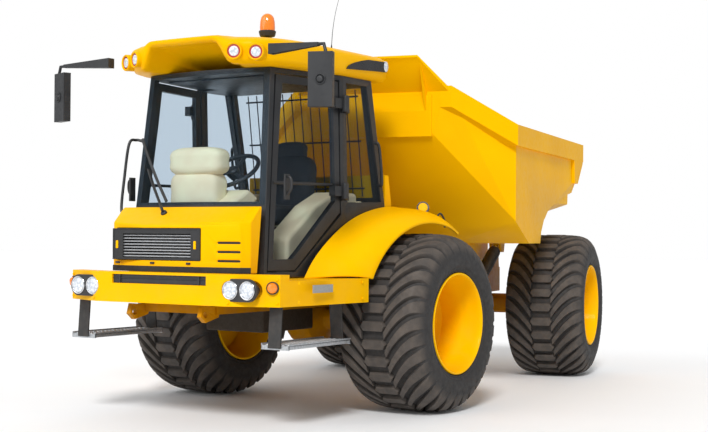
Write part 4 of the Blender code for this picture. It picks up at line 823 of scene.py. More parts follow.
class Finish(Enum):
    """Every finish on the truck, by the name of the surface that wears it."""

    YELLOW = Paint("yellow_coat", (0.93, 0.485, 0.0), (0.87, 0.435, 0.0), 0.16)
    RIM = Paint("rim_coat", (0.95, 0.51, 0.0), (0.90, 0.46, 0.0), 0.08)
    # the body yellow darkened to orange-brown for the frames and axles under the truck: painted shade for the
    # shadow beneath the body; its low-down dust is real
    CHASSIS = Paint("chassis_coat", (0.52, 0.215, 0.0), (0.28, 0.115, 0.0), 0.3, 0.5, 0.02)
    CAB_BLACK = Plastic("cab_coat", (0.013, 0.014, 0.016), 700, 0.00025, 0.38)
    MOULDED = Plastic("moulded_black")
    CHASSIS_BLACK = Plastic("chassis_black", (0.02, 0.019, 0.018), 300, 0.0005, 0.55)
    RUBBER = Rubber("tyre_tread")
    SEAL = Plastic("seal_rubber", (0.012, 0.012, 0.013), 500, 0.0003, 0.7)
    SCREEN = Glass("windscreen_pane", (0.90, 0.95, 0.99), (0.03, 0.06, 0.085), 0.05)
    SIDE_PANE = Glass("door_pane", (0.90, 0.935, 0.965), (0.02, 0.035, 0.05), 0.09)
    CHROME = Metal("polished_rod", (0.80, 0.81, 0.83), (0.62, 0.63, 0.66), 60, 0.00005, (0.08, 0.22))
    GALVANISED = Metal("galvanised_tread", (0.60, 0.62, 0.64), (0.42, 0.44, 0.46), 70, 0.0003, (0.35, 0.55))
    CAST = Metal("cast_block", (0.05, 0.036, 0.022), (0.028, 0.02, 0.013), 200, 0.0012, (0.6, 0.8), 0.35)
    SILVER = Metal("grille_silver", (0.52, 0.53, 0.54), (0.40, 0.41, 0.43), 150, 0.0002, (0.3, 0.45), 0.85)
    TRIM = Plastic("cab_trim", (0.90, 0.73, 0.47), 450, 0.0003, 0.6)
    CLOTH = Plastic("seat_cloth", (0.035, 0.037, 0.042), 700, 0.0003, 0.82)
    LAMP = Lens("lamp_lens", (0.90, 0.92, 0.94), (0.46, 0.50, 0.56), 62)
    AMBER = Lens("amber_lens", (0.95, 0.26, 0.01), (0.75, 0.16, 0.005), 300, 0.12)
    RED = Lens("red_lens", (0.50, 0.03, 0.02), (0.35, 0.02, 0.01), 300)
    DECAL = Plastic("decal_black", (0.012, 0.012, 0.013), 150, 0.00005, 0.3)
    PLATE = Metal("blank_plate", (0.42, 0.42, 0.40), (0.34, 0.34, 0.33), 120, 0.0002, (0.4, 0.55), 0.5)


_MADE: dict[Finish, bpy.types.Material] = {}


def material(finish: Finish) -> bpy.types.Material:
    """The finish's material, made the first time it is asked for.

    Args:
        finish: the finish asked for.

    Returns:
        The material.
    """
    if finish not in _MADE:
        _MADE[finish] = finish.value.build()
    return _MADE[finish]


# ---------------------------------------------------------------- making pieces


def add_bevel(piece: bpy.types.Object, width: float, segments: int = 2) -> None:
    """Rounds the piece's edges sharper than BEVEL_ANGLE, to that width in metres.

    Args:
        piece: the object.
        width: in metres.
        segments: how many steps make the curve.
    """
    bevel = piece.modifiers.new("edges", "BEVEL")
    bevel.width = width
    bevel.segments = segments
    bevel.limit_method = "ANGLE"
    bevel.angle_limit = math.radians(BEVEL_ANGLE)
    bevel.miter_outer = "MITER_ARC"
    bevel.harden_normals = True


def shade(mesh: bpy.types.Mesh, angle: float) -> None:
    """Smooth shading, broken at edges sharper than angle in degrees."""
    mesh.shade_smooth()
    mesh.set_sharp_from_angle(angle=math.radians(angle))


def add_piece(name: str, mesh: bpy.types.Mesh, finish: Finish, body: str) -> bpy.types.Object:
    """Puts a finished mesh in the scene as a piece of that body.

    Args:
        name: the piece's name.
        mesh: its mesh, in place.
        finish: what it wears.
        body: the body it moves with.

    Returns:
        The piece.
    """
    mesh.materials.clear()
    mesh.materials.append(material(finish))
    piece = bpy.data.objects.new(name, mesh)
    bpy.context.scene.collection.objects.link(piece)
    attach(piece, body)
    LOG.info("%s on %s", name, body)
    return piece


def make(
    name: str,
    shape: Shape,
    finish: Finish,
    body: str = "front_unit",
    unit: UnitFrame = FRONT,
    bevel: float = 0.0,
    angle: float = 35.0,
    replaces: Sequence[str] = (),
    segments: int = 2,
) -> bpy.types.Object:
    """Makes a piece from a shape.

    It places the shape, joins its doubles, turns its faces outwards and rounds its edges.

    Args:
        name: the piece's name.
        shape: its shape, in its unit's own measure.
        finish: what it wears.
        body: the body it moves with.
        unit: the half of the truck it is measured in.
        bevel: the width of its rounded edges, in metres.
        angle: edges sharper than this stay sharp.
        replaces: the nodes it stands for.
        segments: steps across a rounded edge.

    Returns:
        The piece.
    """
    mesh = bpy.data.meshes.new(name)
    loops = np.concatenate([f.ravel() for f in shape.faces])
    sizes = np.concatenate([np.full(len(f), f.shape[1]) for f in shape.faces])
    mesh.vertices.add(len(shape.points))
    mesh.vertices.foreach_set("co", unit.place(shape.points).ravel())
    mesh.loops.add(len(loops))
    mesh.loops.foreach_set("vertex_index", loops.astype(np.int32))
    mesh.polygons.add(len(sizes))
    mesh.polygons.foreach_set("loop_start", (np.cumsum(sizes) - sizes).astype(np.int32))
    mesh.update(calc_edges=True)
    tidy = bmesh.new()
    tidy.from_mesh(mesh)
    bmesh.ops.remove_doubles(tidy, verts=tidy.verts, dist=WELD)
    bmesh.ops.recalc_face_normals(tidy, faces=tidy.faces)
    tidy.to_mesh(mesh)
    tidy.free()
    shade(mesh, angle)
    piece = add_piece(name, mesh, finish, body)
    if bevel:
        add_bevel(piece, bevel, segments)
    if replaces:
        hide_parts(*replaces)
    return piece


def soften(
    node: str, finish: Finish, bevel: float, angle: float = 35.0, segments: int = 2
) -> bpy.types.Object:
    """A copy of a node with its triangles joined to flat faces and its edges rounded, standing for the node.

    Args:
        node: the node's name.
        finish: what it wears.
        bevel: the width of its rounded edges, in metres.
        angle: edges sharper than this stay sharp.
        segments: steps across a rounded edge.

    Returns:
        The piece.
    """
    source = frame["nodes"][node]
    mesh = bpy.data.meshes.new(f"{node}_skin")
    tidy = bmesh.new()
    tidy.from_mesh(source.data)
    tidy.transform(source.matrix_world)
    bmesh.ops.remove_doubles(tidy, verts=tidy.verts, dist=WELD)
    bmesh.ops.dissolve_limit(
        tidy,
        angle_limit=math.radians(FLAT_ANGLE),
        use_dissolve_boundaries=False,
        verts=tidy.verts,
        edges=tidy.edges,
    )
    tidy.to_mesh(mesh)
    tidy.free()
    shade(mesh, angle)
    body = next(name for name, nodes in frame["record"]["behaviour"]["bodies"].items() if node in nodes)
    piece = add_piece(f"{node}_skin", mesh, finish, body)
    add_bevel(piece, bevel, segments)
    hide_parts(node)
    return piece


def dress(node: str, finish: Finish) -> None:
    """Gives a node that stays its finish.

    Args:
        node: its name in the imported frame.
        finish: how it looks.
    """
    target = frame["nodes"][node]
    for number in range(len(target.data.materials)):
        target.data.materials[number] = material(finish)
    LOG.info("%s dressed", node)


# ---------------------------------------------------------------- wheels


@dataclass
class Wheel:
    """One wide flotation wheel: tyre, lugs, deep-dish rim and hub.

    Args:
        side: "left" or "right".
        axle: "front" or "rear".
        radius: to the top of the tread.
        pitches: how many bars and lugs go round.
        sweep: how far a lug's outer end leads its inner end, in radians.
        studs: how many bolts hold the hub.
        stud_radius: their distance from the axle.
        outer_side: how many of the profile's pairs lie between the middle and the widest place.
        wall: the tyre's profile, as pairs of the place along the axle and the distance from it.
    """

    side: str
    axle: str
    radius: float = 0.6445
    pitches: int = 31
    sweep: float = 0.36
    studs: int = 10
    stud_radius: float = 0.1
    outer_side: int = 9
    wall: tuple[tuple[float, float], ...] = (
        (0.0, 0.614),
        (0.08, 0.612),
        (0.16, 0.607),
        (0.23, 0.598),
        (0.28, 0.584),
        (0.315, 0.560),
        (0.338, 0.528),
        (0.349, 0.492),
        (0.353, 0.460),
        (0.350, 0.428),
        (0.340, 0.402),
        (0.330, 0.386),
        (0.334, 0.380),
        (0.328, 0.372),
        (0.300, 0.364),
    )

    def __post_init__(self) -> None:
        """Sets the unit, the body and the outward direction from the side and the axle."""
        self.unit = FRONT if self.axle == "front" else REAR
        self.body = f"{self.axle}_wheel_{self.side}"
        self.out = SIDES[self.side]
        self.centre = (WHEEL_X * self.out, 0.0 if self.axle == "front" else REAR_AXLE_Y, AXLE_HEIGHT)

    def rounded(self, a: np.ndarray, turn: np.ndarray, r: np.ndarray) -> np.ndarray:
        """Points at a along the axle, r from it, and turn round it, 0 being forwards and growing upwards."""
        points = np.stack(np.broadcast_arrays(a * self.out, -r * np.cos(turn), r * np.sin(turn)), -1)
        return points + self.centre

    def ground(self, a: np.ndarray) -> np.ndarray:
        """The tyre's own radius at a along the axle, read off the outer side of the wall."""
        along, height = np.array(self.wall[: self.outer_side]).T
        return np.interp(a, along, height)

    def carcass(self) -> Shape:
        """The tyre's body: its wall profile on both sides, turned once round.

        Returns:
            The shape.
        """
        half = np.array(self.wall)
        profile = np.concatenate([half, (half * (-1, 1))[:0:-1]])
        return revolved(profile, self.centre, (self.out, 0, 0), 108, closed=True)

    def lugs(self, hand: float) -> Shape:
        """Curved lugs from the middle to one shoulder.

        Along s from 0 to 1 the lug's middle is at a = 0.090 + 0.258 s, leads by sweep * (1 - (1 - s) ** 1.7),
        is 0.026 + 0.013 s wide each way, and stands over the wall by 0.0305 + 0.004 sin(pi s) - 0.019 s ** 6.

        Args:
            hand: 1 for the outer shoulder, -1 for the inner.

        Returns:
            All the lugs of that shoulder.
        """
        s = np.linspace(0, 1, 13)[:, None]
        a = 0.090 + 0.258 * s
        ground = self.ground(a)
        lead = self.sweep * (1 - (1 - s) ** 1.7)
        half = 0.026 + 0.013 * s
        rise = 0.0305 + 0.004 * np.sin(math.pi * s) - 0.019 * s**6
        edge = np.array([[-1.35, -1.0, 1.0, 1.35]])
        top = np.array([[0, 1, 1, 0]])
        r = ground - 0.008 + top * (rise + 0.008)
        r = np.minimum(r, self.radius)
        turn = lead + edge * half / ground
        each = (2 * math.pi * (np.arange(self.pitches) + 0.5) / self.pitches)[:, None, None]
        points = self.rounded(a * hand, turn + each, r)
        sample = loft(points[0])
        return stacked(points.reshape(self.pitches, -1, 3), sample.faces)

    def bars(self) -> Shape:
        """Six-sided bars across the middle of the tread, each a pointed outline raised from the wall.

        Returns:
            The shape.
        """
        a = np.array([-0.094, -0.074, 0.074, 0.094, 0.074, -0.074])
        arc = np.array([0.0, 0.034, 0.034, 0.0, -0.034, -0.034])
        grow = np.array([[1.12], [1.06], [1.0]])
        r = np.array([[0.602], [0.63], [self.radius]])
        each = (2 * math.pi * np.arange(self.pitches) / self.pitches)[:, None, None]
        points = self.rounded(a * grow, each + arc * grow / self.radius, np.broadcast_to(r, (3, 6)))
        return stacked(points.reshape(self.pitches, -1, 3), loft(points[0]).faces)

    def ribs(self) -> Shape:
        """Thin raised rings on both walls, as the mould leaves them.

        Returns:
            The shape.
        """
        rings = []
        for a, r in ((0.3505, 0.448), (0.3415, 0.405)):
            for hand in (1, -1):
                loop = [
                    (hand * a, r - 0.004),
                    (hand * (a + 0.0028), r),
                    (hand * a, r + 0.004),
                    (hand * (a - 0.006), r),
                ]
                rings.append(revolved(loop, self.centre, (self.out, 0, 0), 96, closed=True))
        return merged(rings)

    def build_tyre(self) -> None:
        """Makes the tyre and marks how dusty each point is; the lower value in the grooves between the lugs is
        painted shade.
        """
        shape = merged([self.carcass(), self.lugs(1), self.lugs(-1), self.bars(), self.ribs()])
        name = f"tyre_tread_{self.axle}_{self.side}"
        node = f"tyre_{self.axle}_{self.side}"
        piece = make(
            name,
            shape,
            Finish.RUBBER,
            self.body,
            self.unit,
            bevel=0.004,
            angle=40,
            replaces=[node],
            segments=1,
        )
        mesh = piece.data
        points = np.empty(len(mesh.vertices) * 3)
        mesh.vertices.foreach_get("co", points)
        middle = self.unit.place(np.array([self.centre]))[0]
        along = np.array([*self.unit.right, 0.0])
        offset = points.reshape(-1, 3) - middle
        out = np.abs(offset @ along)
        r = np.linalg.norm(offset - np.outer(offset @ along, along), axis=1)
        # lug tops get the most dust; the lower value down in the grooves is painted shade, not dust
        raised = np.clip((r - self.ground(out) - 0.004) / 0.016, 0, 1)
        dusty = np.where(r > 0.53, 0.22 + 0.70 * raised, 0.10)
        dust_and_groove_shade = mesh.attributes.new("tread", "FLOAT", "POINT")
        dust_and_groove_shade.data.foreach_set("value", dusty.astype(np.float32))

    def build_rim(self) -> None:
        """Makes the rim: a turned barrel with rolled lips, a dished disc, a hub with bolts, and the valve."""
        barrel = [
            (0.3345, 0.353), (0.3350, 0.360), (0.3310, 0.3648), (0.322, 0.3645), (0.31, 0.3628),
            (-0.31, 0.3628), (-0.331, 0.3648), (-0.335, 0.360), (-0.3345, 0.353), (-0.322, 0.3455),
            (-0.2, 0.337), (0.02, 0.318), (0.11, 0.322), (0.185, 0.327), (0.20, 0.3345), (0.285, 0.337),
            (0.305, 0.3425), (0.324, 0.346),
        ]  # fmt: skip
        disc = [
            (0.052, 0), (0.052, 0.048), (0.046, 0.058), (0.014, 0.062), (0.010, 0.066), (0.008, 0.128),
            (0.0, 0.137), (-0.026, 0.140), (-0.031, 0.146), (-0.034, 0.27), (-0.022, 0.300), (0.015, 0.3215),
            (-0.02, 0.326), (-0.056, 0.305), (-0.062, 0.27), (-0.062, 0),
        ]  # fmt: skip
        axis = (self.out, 0, 0)
        turn = np.linspace(0, 2 * math.pi, self.studs, endpoint=False)
        circle = self.stud_radius * np.stack([np.zeros(self.studs), np.cos(turn), np.sin(turn)], -1)
        places = circle + self.centre + (0.008 * self.out, 0, 0)
        path = np.array([(0.0, 0, 0), (0.03, 0, -0.004), (0.055, 0, -0.012)]) * (self.out, 1, 1)
        shapes = [
            revolved(barrel, self.centre, axis, 120, closed=True),
            revolved(disc, self.centre, axis, 96),
            bolt(ORIGIN, axis, 0.0125).at(places),
            tube(path, 0.005).moved(np.array(self.centre) + (0.02 * self.out, 0, 0.31)),
        ]
        name = f"wheel_rim_{self.axle}_{self.side}"
        node = f"rim_{self.axle}_{self.side}"
        make(name, merged(shapes), Finish.RIM, self.body, self.unit, angle=32, replaces=[node])

    def build(self) -> None:
        """Makes the whole wheel."""
        self.build_tyre()
        self.build_rim()


# ---------------------------------------------------------------- frames and axles


@dataclass
class Chassis:
    """Both frames, the axles, the articulation and the cylinders.

    Args:
        edge: the width of a cut plate's rounded edge.
        cast_edge: the same on a casting.
    """

    edge: float = 0.003
    cast_edge: float = 0.008

    def build(self) -> None:
        """Makes every piece of the chassis."""
        # the frames and axles wear the darkened yellow, which is painted shade
        soften("front_frame", Finish.CHASSIS, self.edge)
        soften("rear_frame", Finish.CHASSIS, self.edge)
        soften("front_axle", Finish.CHASSIS, self.cast_edge)
        soften("rear_axle", Finish.CHASSIS, self.cast_edge)
        soften("articulation_yoke", Finish.CHASSIS_BLACK, self.cast_edge)
        soften("engine_block", Finish.CAST, 0.012)
        for side in SIDES:
            soften(f"steer_barrel_{side}", Finish.CHASSIS_BLACK, 0.002)
            soften(f"tip_barrel_{side}", Finish.CHASSIS_BLACK, 0.002)
            dress(f"steer_rod_{side}", Finish.CHROME)
            dress(f"tip_rod_{side}", Finish.CHROME)


# ---------------------------------------------------------------- the scene round it


@dataclass
class Studio:
    """The pale floor, the soft light and the camera.

    Args:
        eye: the camera's place, from the front unit's zero point.
        yaw: how far it is turned to the left of straight ahead, in degrees.
        pitch: how far it looks up.
        roll: how far it leans.
        focal: its focal length on a sensor 36 mm wide.
        lights: for each lamp its name, the direction it shines from, its strength, and its spread in
            degrees.
    """

    eye: tuple[float, float, float] = (5.959, -8.471, 1.256)
    yaw: float = 33.319
    pitch: float = 0.785
    roll: float = 0.357
    focal: float = 68.195
    lights: list[tuple[str, tuple[float, float, float], float, float]] = field(
        default_factory=lambda: [
            ("key", (3.2, -6.0, 5.6), 2.35, 14.0),
            ("front_fill", (-3.5, -7.0, 4.5), 0.75, 50.0),
            ("back_fill", (-5.0, 6.0, 5.0), 0.4, 60.0),
        ]
    )

    def build_floor(self) -> None:
        """Makes the floor, a wide pale sheet with a faint mottle."""
        side = np.linspace(-60, 60, 3)
        x, y = np.meshgrid(side, side, indexing="ij")
        flat = grid(np.stack([x, y, np.zeros_like(x)], -1))
        mesh = bpy.data.meshes.new("studio_floor")
        mesh.from_pydata(flat.points.tolist(), [], flat.faces[0].tolist())
        mesh.update()
        sheet = Sheet("floor_paint")
        sheet.feed("Base Color", sheet.mixed(sheet.noise(0.7, 3), (0.94, 0.94, 0.94), (0.90, 0.90, 0.905)))
        sheet.feed("Roughness", sheet.spread(sheet.noise(4, 3), (0.3, 0.7), (0.7, 0.85)))
        mesh.materials.append(sheet.material)
        floor = bpy.data.objects.new("studio_floor", mesh)
        bpy.context.scene.collection.objects.link(floor)

    def build_light(self) -> None:
        """Makes the even surrounding light and the soft lamps."""
        world = bpy.data.worlds.new("studio")
        bpy.context.scene.world = world
        world.use_nodes = True
        tree = world.node_tree
        seen = tree.nodes["Background"]
        seen.inputs["Color"].default_value = (1, 1, 1, 1)
        seen.inputs["Strength"].default_value = 1.0
        shed = tree.nodes.new("ShaderNodeBackground")
        shed.inputs["Color"].default_value = (0.97, 0.985, 1.0, 1)
        shed.inputs["Strength"].default_value = 0.50
        mix = tree.nodes.new("ShaderNodeMixShader")
        path = tree.nodes.new("ShaderNodeLightPath")
        tree.links.new(path.outputs["Is Camera Ray"], mix.inputs[0])
        tree.links.new(shed.outputs[0], mix.inputs[1])
        tree.links.new(seen.outputs[0], mix.inputs[2])
        tree.links.new(mix.outputs[0], tree.nodes["World Output"].inputs[0])
        for name, source, strength, spread in self.lights:
            lamp = bpy.data.lights.new(name, "SUN")
            lamp.energy = strength
            lamp.angle = math.radians(spread)
            holder = bpy.data.objects.new(name, lamp)
            aim = np.array(source, float)
            holder.matrix_world = basis_matrix(aim, (0.0, 0.0, 8.0))
            bpy.context.scene.collection.objects.link(holder)
        bpy.context.scene.view_settings.view_transform = "Standard"

    def build_camera(self) -> None:
        """Makes the camera from its place and turn."""
        yaw, pitch, roll = (math.radians(a) for a in (self.yaw, self.pitch, self.roll))
        ahead = np.array([-math.sin(yaw) * math.cos(pitch), math.cos(yaw) * math.cos(pitch), math.sin(pitch)])
        level = np.array([math.cos(yaw), math.sin(yaw), 0.0])
        up = np.cross(level, ahead)
        right = math.cos(roll) * level + math.sin(roll) * up
        over = -math.sin(roll) * level + math.cos(roll) * up
        matrix = np.eye(4)
        matrix[:3, :3] = np.stack([right, over, -ahead], 1)
        matrix[:3, 3] = FRONT.place(np.array([self.eye]))[0]
        lens = bpy.data.cameras.new("camera")
        lens.lens = self.focal
        lens.sensor_width = 36.0
        lens.clip_end = 300.0
        camera = bpy.data.objects.new("camera", lens)
        camera.matrix_world = Matrix(matrix.tolist())
        bpy.context.scene.collection.objects.link(camera)
        bpy.context.scene.camera = camera

    def build(self) -> None:
        """Makes the whole studio."""
        self.build_camera()
        self.build_floor()
        self.build_light()


def basis_matrix(towards: np.ndarray, place: Sequence[float]) -> Matrix:
    """A placing whose Z axis points along towards, standing at place.

    Args:
        towards: the direction Z takes.
        place: where it stands.

    Returns:
        The placing, four by four.
    """
    z, x, y = across(towards)
    matrix = np.eye(4)
    matrix[:3, :3] = np.stack([x, y, z], 1)
    matrix[:3, 3] = place
    return Matrix(matrix.tolist())


# ---------------------------------------------------------------- bumper and steps


@dataclass
class Bumper:
    """The front bumper with its lamps, indicators, slot, side plates and steps.

    Args:
        lamp_x: the lamps' places from the middle.
        lamp_z: their height.
        lamp_radius: their outer radius.
        face_y: the lamps' front.
        slot_half: half the centre slot's width.
        slot_z: the slot's lower and upper edge.
        bolt_size: the radius of a bolt head.
    """

    lamp_x: tuple[float, float] = (0.600, 0.738)
    lamp_z: float = 0.895
    lamp_radius: float = 0.0615
    face_y: float = -1.7545
    slot_half: float = 0.408
    slot_z: tuple[float, float] = (0.9195, 0.9935)
    bolt_size: float = 0.008

    def build_lamps(self, side: str) -> None:
        """Makes one pair of headlamps: black bowls, bright bezels and clear lenses.

        Args:
            side: "left" or "right".
        """
        out = SIDES[side]
        places = np.array([[x * out, self.face_y, self.lamp_z] for x in self.lamp_x])
        r = self.lamp_radius
        bowl = [
            (-0.095, 0), (-0.095, r * 0.5), (-0.06, r * 0.85), (-0.012, r), (-0.004, r), (-0.004, r - 0.008),
            (-0.05, 0),
        ]
        bezel = [
            (-0.006, r), (0.003, r), (0.0068, r - 0.004), (0.006, r - 0.009), (0.0005, r - 0.0115),
            (-0.006, r - 0.0115),
        ]
        lens = [
            (0.006, 0), (0.0055, r * 0.3), (0.0035, r * 0.6), (0.0, r - 0.012), (-0.004, r - 0.011),
            (-0.006, 0),
        ]
        bowls = revolved(bowl, ORIGIN, AHEAD, 48).at(places)
        bezels = revolved(bezel, ORIGIN, AHEAD, 64, closed=True).at(places)
        lenses = revolved(lens, ORIGIN, AHEAD, 64).at(places)
        make(f"lamp_bowls_{side}", bowls, Finish.MOULDED, replaces=[f"headlamps_{side}"])
        make(f"lamp_bezels_{side}", bezels, Finish.CHROME)
        make(f"lamp_lenses_{side}", lenses, Finish.LAMP)

    def build_indicator(self, side: str) -> None:
        """Makes the amber indicator on the slanted corner, in its black cup.

        Args:
            side: "left" or "right".
        """
        out = SIDES[side]
        centre, axis = (0.868 * out, -1.656, 0.912), (0.348 * out, -0.937, 0)
        cup = [(-0.004, 0.0), (-0.004, 0.041), (0.012, 0.041), (0.016, 0.036), (0.008, 0.034), (0.0, 0.0)]
        dome = [(0.002, 0), (0.002, 0.0345), (0.020, 0.033), (0.030, 0.026), (0.034, 0.012), (0.035, 0)]
        make(f"indicator_cup_{side}", revolved(cup, centre, axis, 32), Finish.MOULDED)
        make(f"indicator_{side}", revolved(dome, centre, axis, 40), Finish.AMBER)

    def build_slot(self) -> None:
        """Makes the black insert in the centre slot, with its two posts, and the lamps' dark surrounds."""
        half, (low, high) = self.slot_half, self.slot_z
        back = block((-half, -1.752, low), (half, -1.735, high))
        posts = [block((x - 0.006, -1.7605, low), (x + 0.006, -1.74, high)) for x in (-0.345, 0.345)]
        rib = block((-half, -1.7585, 0.952), (half, -1.74, 0.957))
        make("bumper_slot_insert", merged([back, *posts, rib]), Finish.MOULDED, bevel=0.0015)
        for side, out in SIDES.items():
            turn = np.linspace(0, 2 * math.pi, 64, endpoint=False)
            x = 0.669 + 0.069 * np.sign(np.cos(turn)) + 0.0735 * np.cos(turn)
            outline = np.stack([self.lamp_z + 0.0735 * np.sin(turn), x * out], -1)
            surround = prism(outline, -1.7505, -1.7335, 1)
            make(f"lamp_surround_{side}", surround, Finish.MOULDED, bevel=0.002)

    def build_bolts(self, side: str) -> None:
        """Makes the bolt heads at the bumper's end and along the skirt, and the skirt's blank plate.

        Args:
            side: "left" or "right".
        """
        out = SIDES[side]
        front = [(0.893, -1.6425, 0.965), (0.893, -1.6425, 0.815), (0.585, -1.7575, 0.812)]
        flank = [(0.975, y, z) for y, z in ((-1.52, 0.94), (-1.52, 0.82), (-0.78, 0.93), (-0.78, 0.82))]
        slanted = bolt(ORIGIN, (0.348 * out, -0.937, 0), self.bolt_size).at(np.array(front) * (out, 1, 1))
        square = bolt(ORIGIN, (out, 0, 0), self.bolt_size).at(np.array(flank) * (out, 1, 1))
        make(f"bumper_bolts_{side}", merged([slanted, square]), Finish.RIM)
        corners = np.sort([0.9735 * out, 0.9785 * out])
        plate = block((corners[0], -1.37, 0.874), (corners[1], -1.14, 0.926))
        make(f"blank_plate_{side}", plate, Finish.PLATE, bevel=0.0015)

    def build_step(self, side: str) -> None:
        """Makes one step: two flat hangers and a tread of raised rings between folded edges.

        Args:
            side: "left" or "right".
        """
        out = SIDES[side]
        hangers = [
            prism([(-1.585, 0.79), (-1.572, 0.79), (-1.592, 0.525), (-1.605, 0.525)], 0.79, 0.888, 0),
            prism([(-0.912, 0.79), (-0.899, 0.79), (-0.875, 0.525), (-0.888, 0.525)], 0.79, 0.888, 0),
        ]
        make(
            f"step_hangers_{side}",
            merged(hangers).flipped(out),
            Finish.CHASSIS_BLACK,
            bevel=0.003,
            replaces=[f"step_{side}"],
        )
        deck = prism(
            [
                (-1.592, 0.515), (-1.592, 0.545), (-0.888, 0.545), (-0.888, 0.515), (-0.894, 0.515),
                (-0.894, 0.539), (-1.586, 0.539), (-1.586, 0.515),
            ],
            0.728, 0.952, 0,
        )  # fmt: skip
        lips = [block((x, -1.592, 0.52), (x + 0.006, -0.888, 0.556)) for x in (0.728, 0.946)]
        rim = [(0, 0.009), (0.004, 0.0105), (0.004, 0.0135), (0, 0.0155)]
        studs = revolved(rim, ORIGIN, UP, 14, closed=True)
        x, y = np.meshgrid(np.linspace(0.756, 0.924, 5), np.linspace(-1.56, -0.92, 17), indexing="ij")
        studs = studs.at(np.stack([x.ravel(), y.ravel(), np.full(x.size, 0.5445)], -1))
        make(
            f"step_tread_{side}",
            merged([deck, *lips, studs]).flipped(out),
            Finish.GALVANISED,
            bevel=0.001,
            segments=1,
        )

    def build(self) -> None:
        """Makes the bumper and everything on it."""
        soften("front_bumper", Finish.YELLOW, 0.005)
        self.build_slot()
        for side in SIDES:
            self.build_lamps(side)
            self.build_indicator(side)
            self.build_bolts(side)
            self.build_step(side)


# ---------------------------------------------------------------- nose


@dataclass
class Cowl:
    """The nose: its cover, grille, louvres, catches and wiper, and the engine cover behind the cab.

    Args:
        left: the grille's left edge.
        right: the grille's right edge.
        low: its lower edge.
        high: its upper edge.
        front: the cover's front.
        slats: how many slats the grille has.
    """

    left: float = 0.255
    right: float = -0.525
    low: float = 1.075
    high: float = 1.288
    front: float = -1.640
    slats: int = 8

    def build_grille(self) -> None:
        """Makes the grille: a black frame, a dark mesh behind, and silver slats tilted downwards."""
        inner = oblong((self.low + 0.016, self.right + 0.092), (self.high - 0.036, self.left - 0.085))
        outer = oblong((self.low, self.right), (self.high, self.left))
        lip = oblong((self.low + 0.009, self.right + 0.009), (self.high - 0.009, self.left - 0.009))
        rim = ring(outer, inner, self.front + 0.002, -1.5440, 1)
        frame_edge = ring(outer, lip, self.front - 0.002, self.front + 0.01, 1)
        make(
            "grille_frame",
            merged([rim, frame_edge]),
            Finish.MOULDED,
            bevel=0.002,
            replaces=["radiator_grille"],
        )
        mesh_back = block(
            (self.right + 0.08, -1.575, self.low + 0.012), (self.left - 0.07, -1.5445, self.high - 0.03)
        )
        make("grille_back", mesh_back, Finish.MOULDED, bevel=0.002)
        level = np.linspace(self.low + 0.026, self.high - 0.047, self.slats)
        blade = prism(
            [(-1.632, -0.0045), (-1.627, 0.004), (-1.592, 0.0075), (-1.594, 0.0005)],
            self.right + 0.09, self.left - 0.083, 0,
        )  # fmt: skip
        places = np.stack([np.zeros(self.slats), np.zeros(self.slats), level], -1)
        make("grille_slats", blade.at(places), Finish.SILVER, bevel=0.0012)
        latch = block((0, self.front - 0.004, 1.150), (0.02, self.front + 0.006, 1.205))
        latches = [latch.moved((x, 0, 0)) for x in (self.left - 0.056, self.right + 0.03)]
        make("grille_latches", merged(latches), Finish.RIM, bevel=0.004)
        bar = block((-0.018, self.front - 0.006, 1.048), (0.018, self.front + 0.004, 1.062))
        catch = merged([bar, bolt((0.006, self.front - 0.005, 1.055), (0, -1, 0), 0.006)])
        catches = catch.at(np.array([(x, 0, 0) for x in (-0.475, -0.160, 0.157)]))
        make("grille_catches", catches, Finish.MOULDED, bevel=0.002)

    def build_louvres(self) -> None:
        """Makes the black linings of the three louvre slots."""
        lining = [(0.3865, -1.6165), (0.5535, -1.591), (0.5535, -1.566), (0.3865, -1.566)]
        slots = [prism(lining, z - 0.0064, z + 0.0064) for z in (1.075, 1.135, 1.195)]
        make("cowl_louvres", merged(slots), Finish.SEAL, bevel=0.001)

    def build_strip(self) -> None:
        """Makes the black rubber band along the cover's foot, standing a little proud of it."""
        plan = [
            (-0.607, -1.545), (-0.56, -1.597), (-0.25, -1.643), (0.25, -1.643), (0.56, -1.597),
            (0.607, -1.545),
        ]
        x, y = np.array(plan).T
        low, high = 0.9965, 1.034
        near, far = (x, y - 0.004), (x * 0.99, y + 0.012)
        loops = ((*near, low), (*near, high), (*far, high), (*far, low))
        rings = np.stack([np.stack([u, v, np.full(len(x), z)], -1) for u, v, z in loops], 1)
        make("cowl_foot_strip", loft(rings), Finish.SEAL, bevel=0.002)

    def build_wiper(self) -> None:
        """Makes the wiper: a knuckle on the cover, a channel arm and a long blade before the glass."""
        cup = [(-0.03, 0), (-0.03, 0.022), (0.006, 0.022), (0.012, 0.016), (0.012, 0)]
        reach = [
            (-0.163, -1.537, 1.407), (-0.215, -1.515, 1.475), (-0.30, -1.475, 1.575), (-0.395, -1.425, 1.70)
        ]
        blade = [
            (-0.225, -1.427, 1.475), (-0.33, -1.404, 1.62), (-0.44, -1.372, 1.78), (-0.535, -1.337, 1.925)
        ]
        knuckle = revolved(cup, (-0.163, -1.525, 1.395), (0, -0.75, 0.66), 32)
        arm = tube(curved(reach), 0.0135, 10, squash=0.55)
        spine = tube(curved(blade), 0.008, 8, squash=1.5)
        make("wiper", merged([knuckle, arm, spine]), Finish.MOULDED, bevel=0.0015)

    def build(self) -> None:
        """Makes the nose and the engine cover."""
        soften("front_cowl", Finish.YELLOW, 0.018, segments=3)
        soften("engine_cover", Finish.YELLOW, 0.012)
        self.build_grille()
        self.build_louvres()
        self.build_strip()
        self.build_wiper()


# ---------------------------------------------------------------- fenders


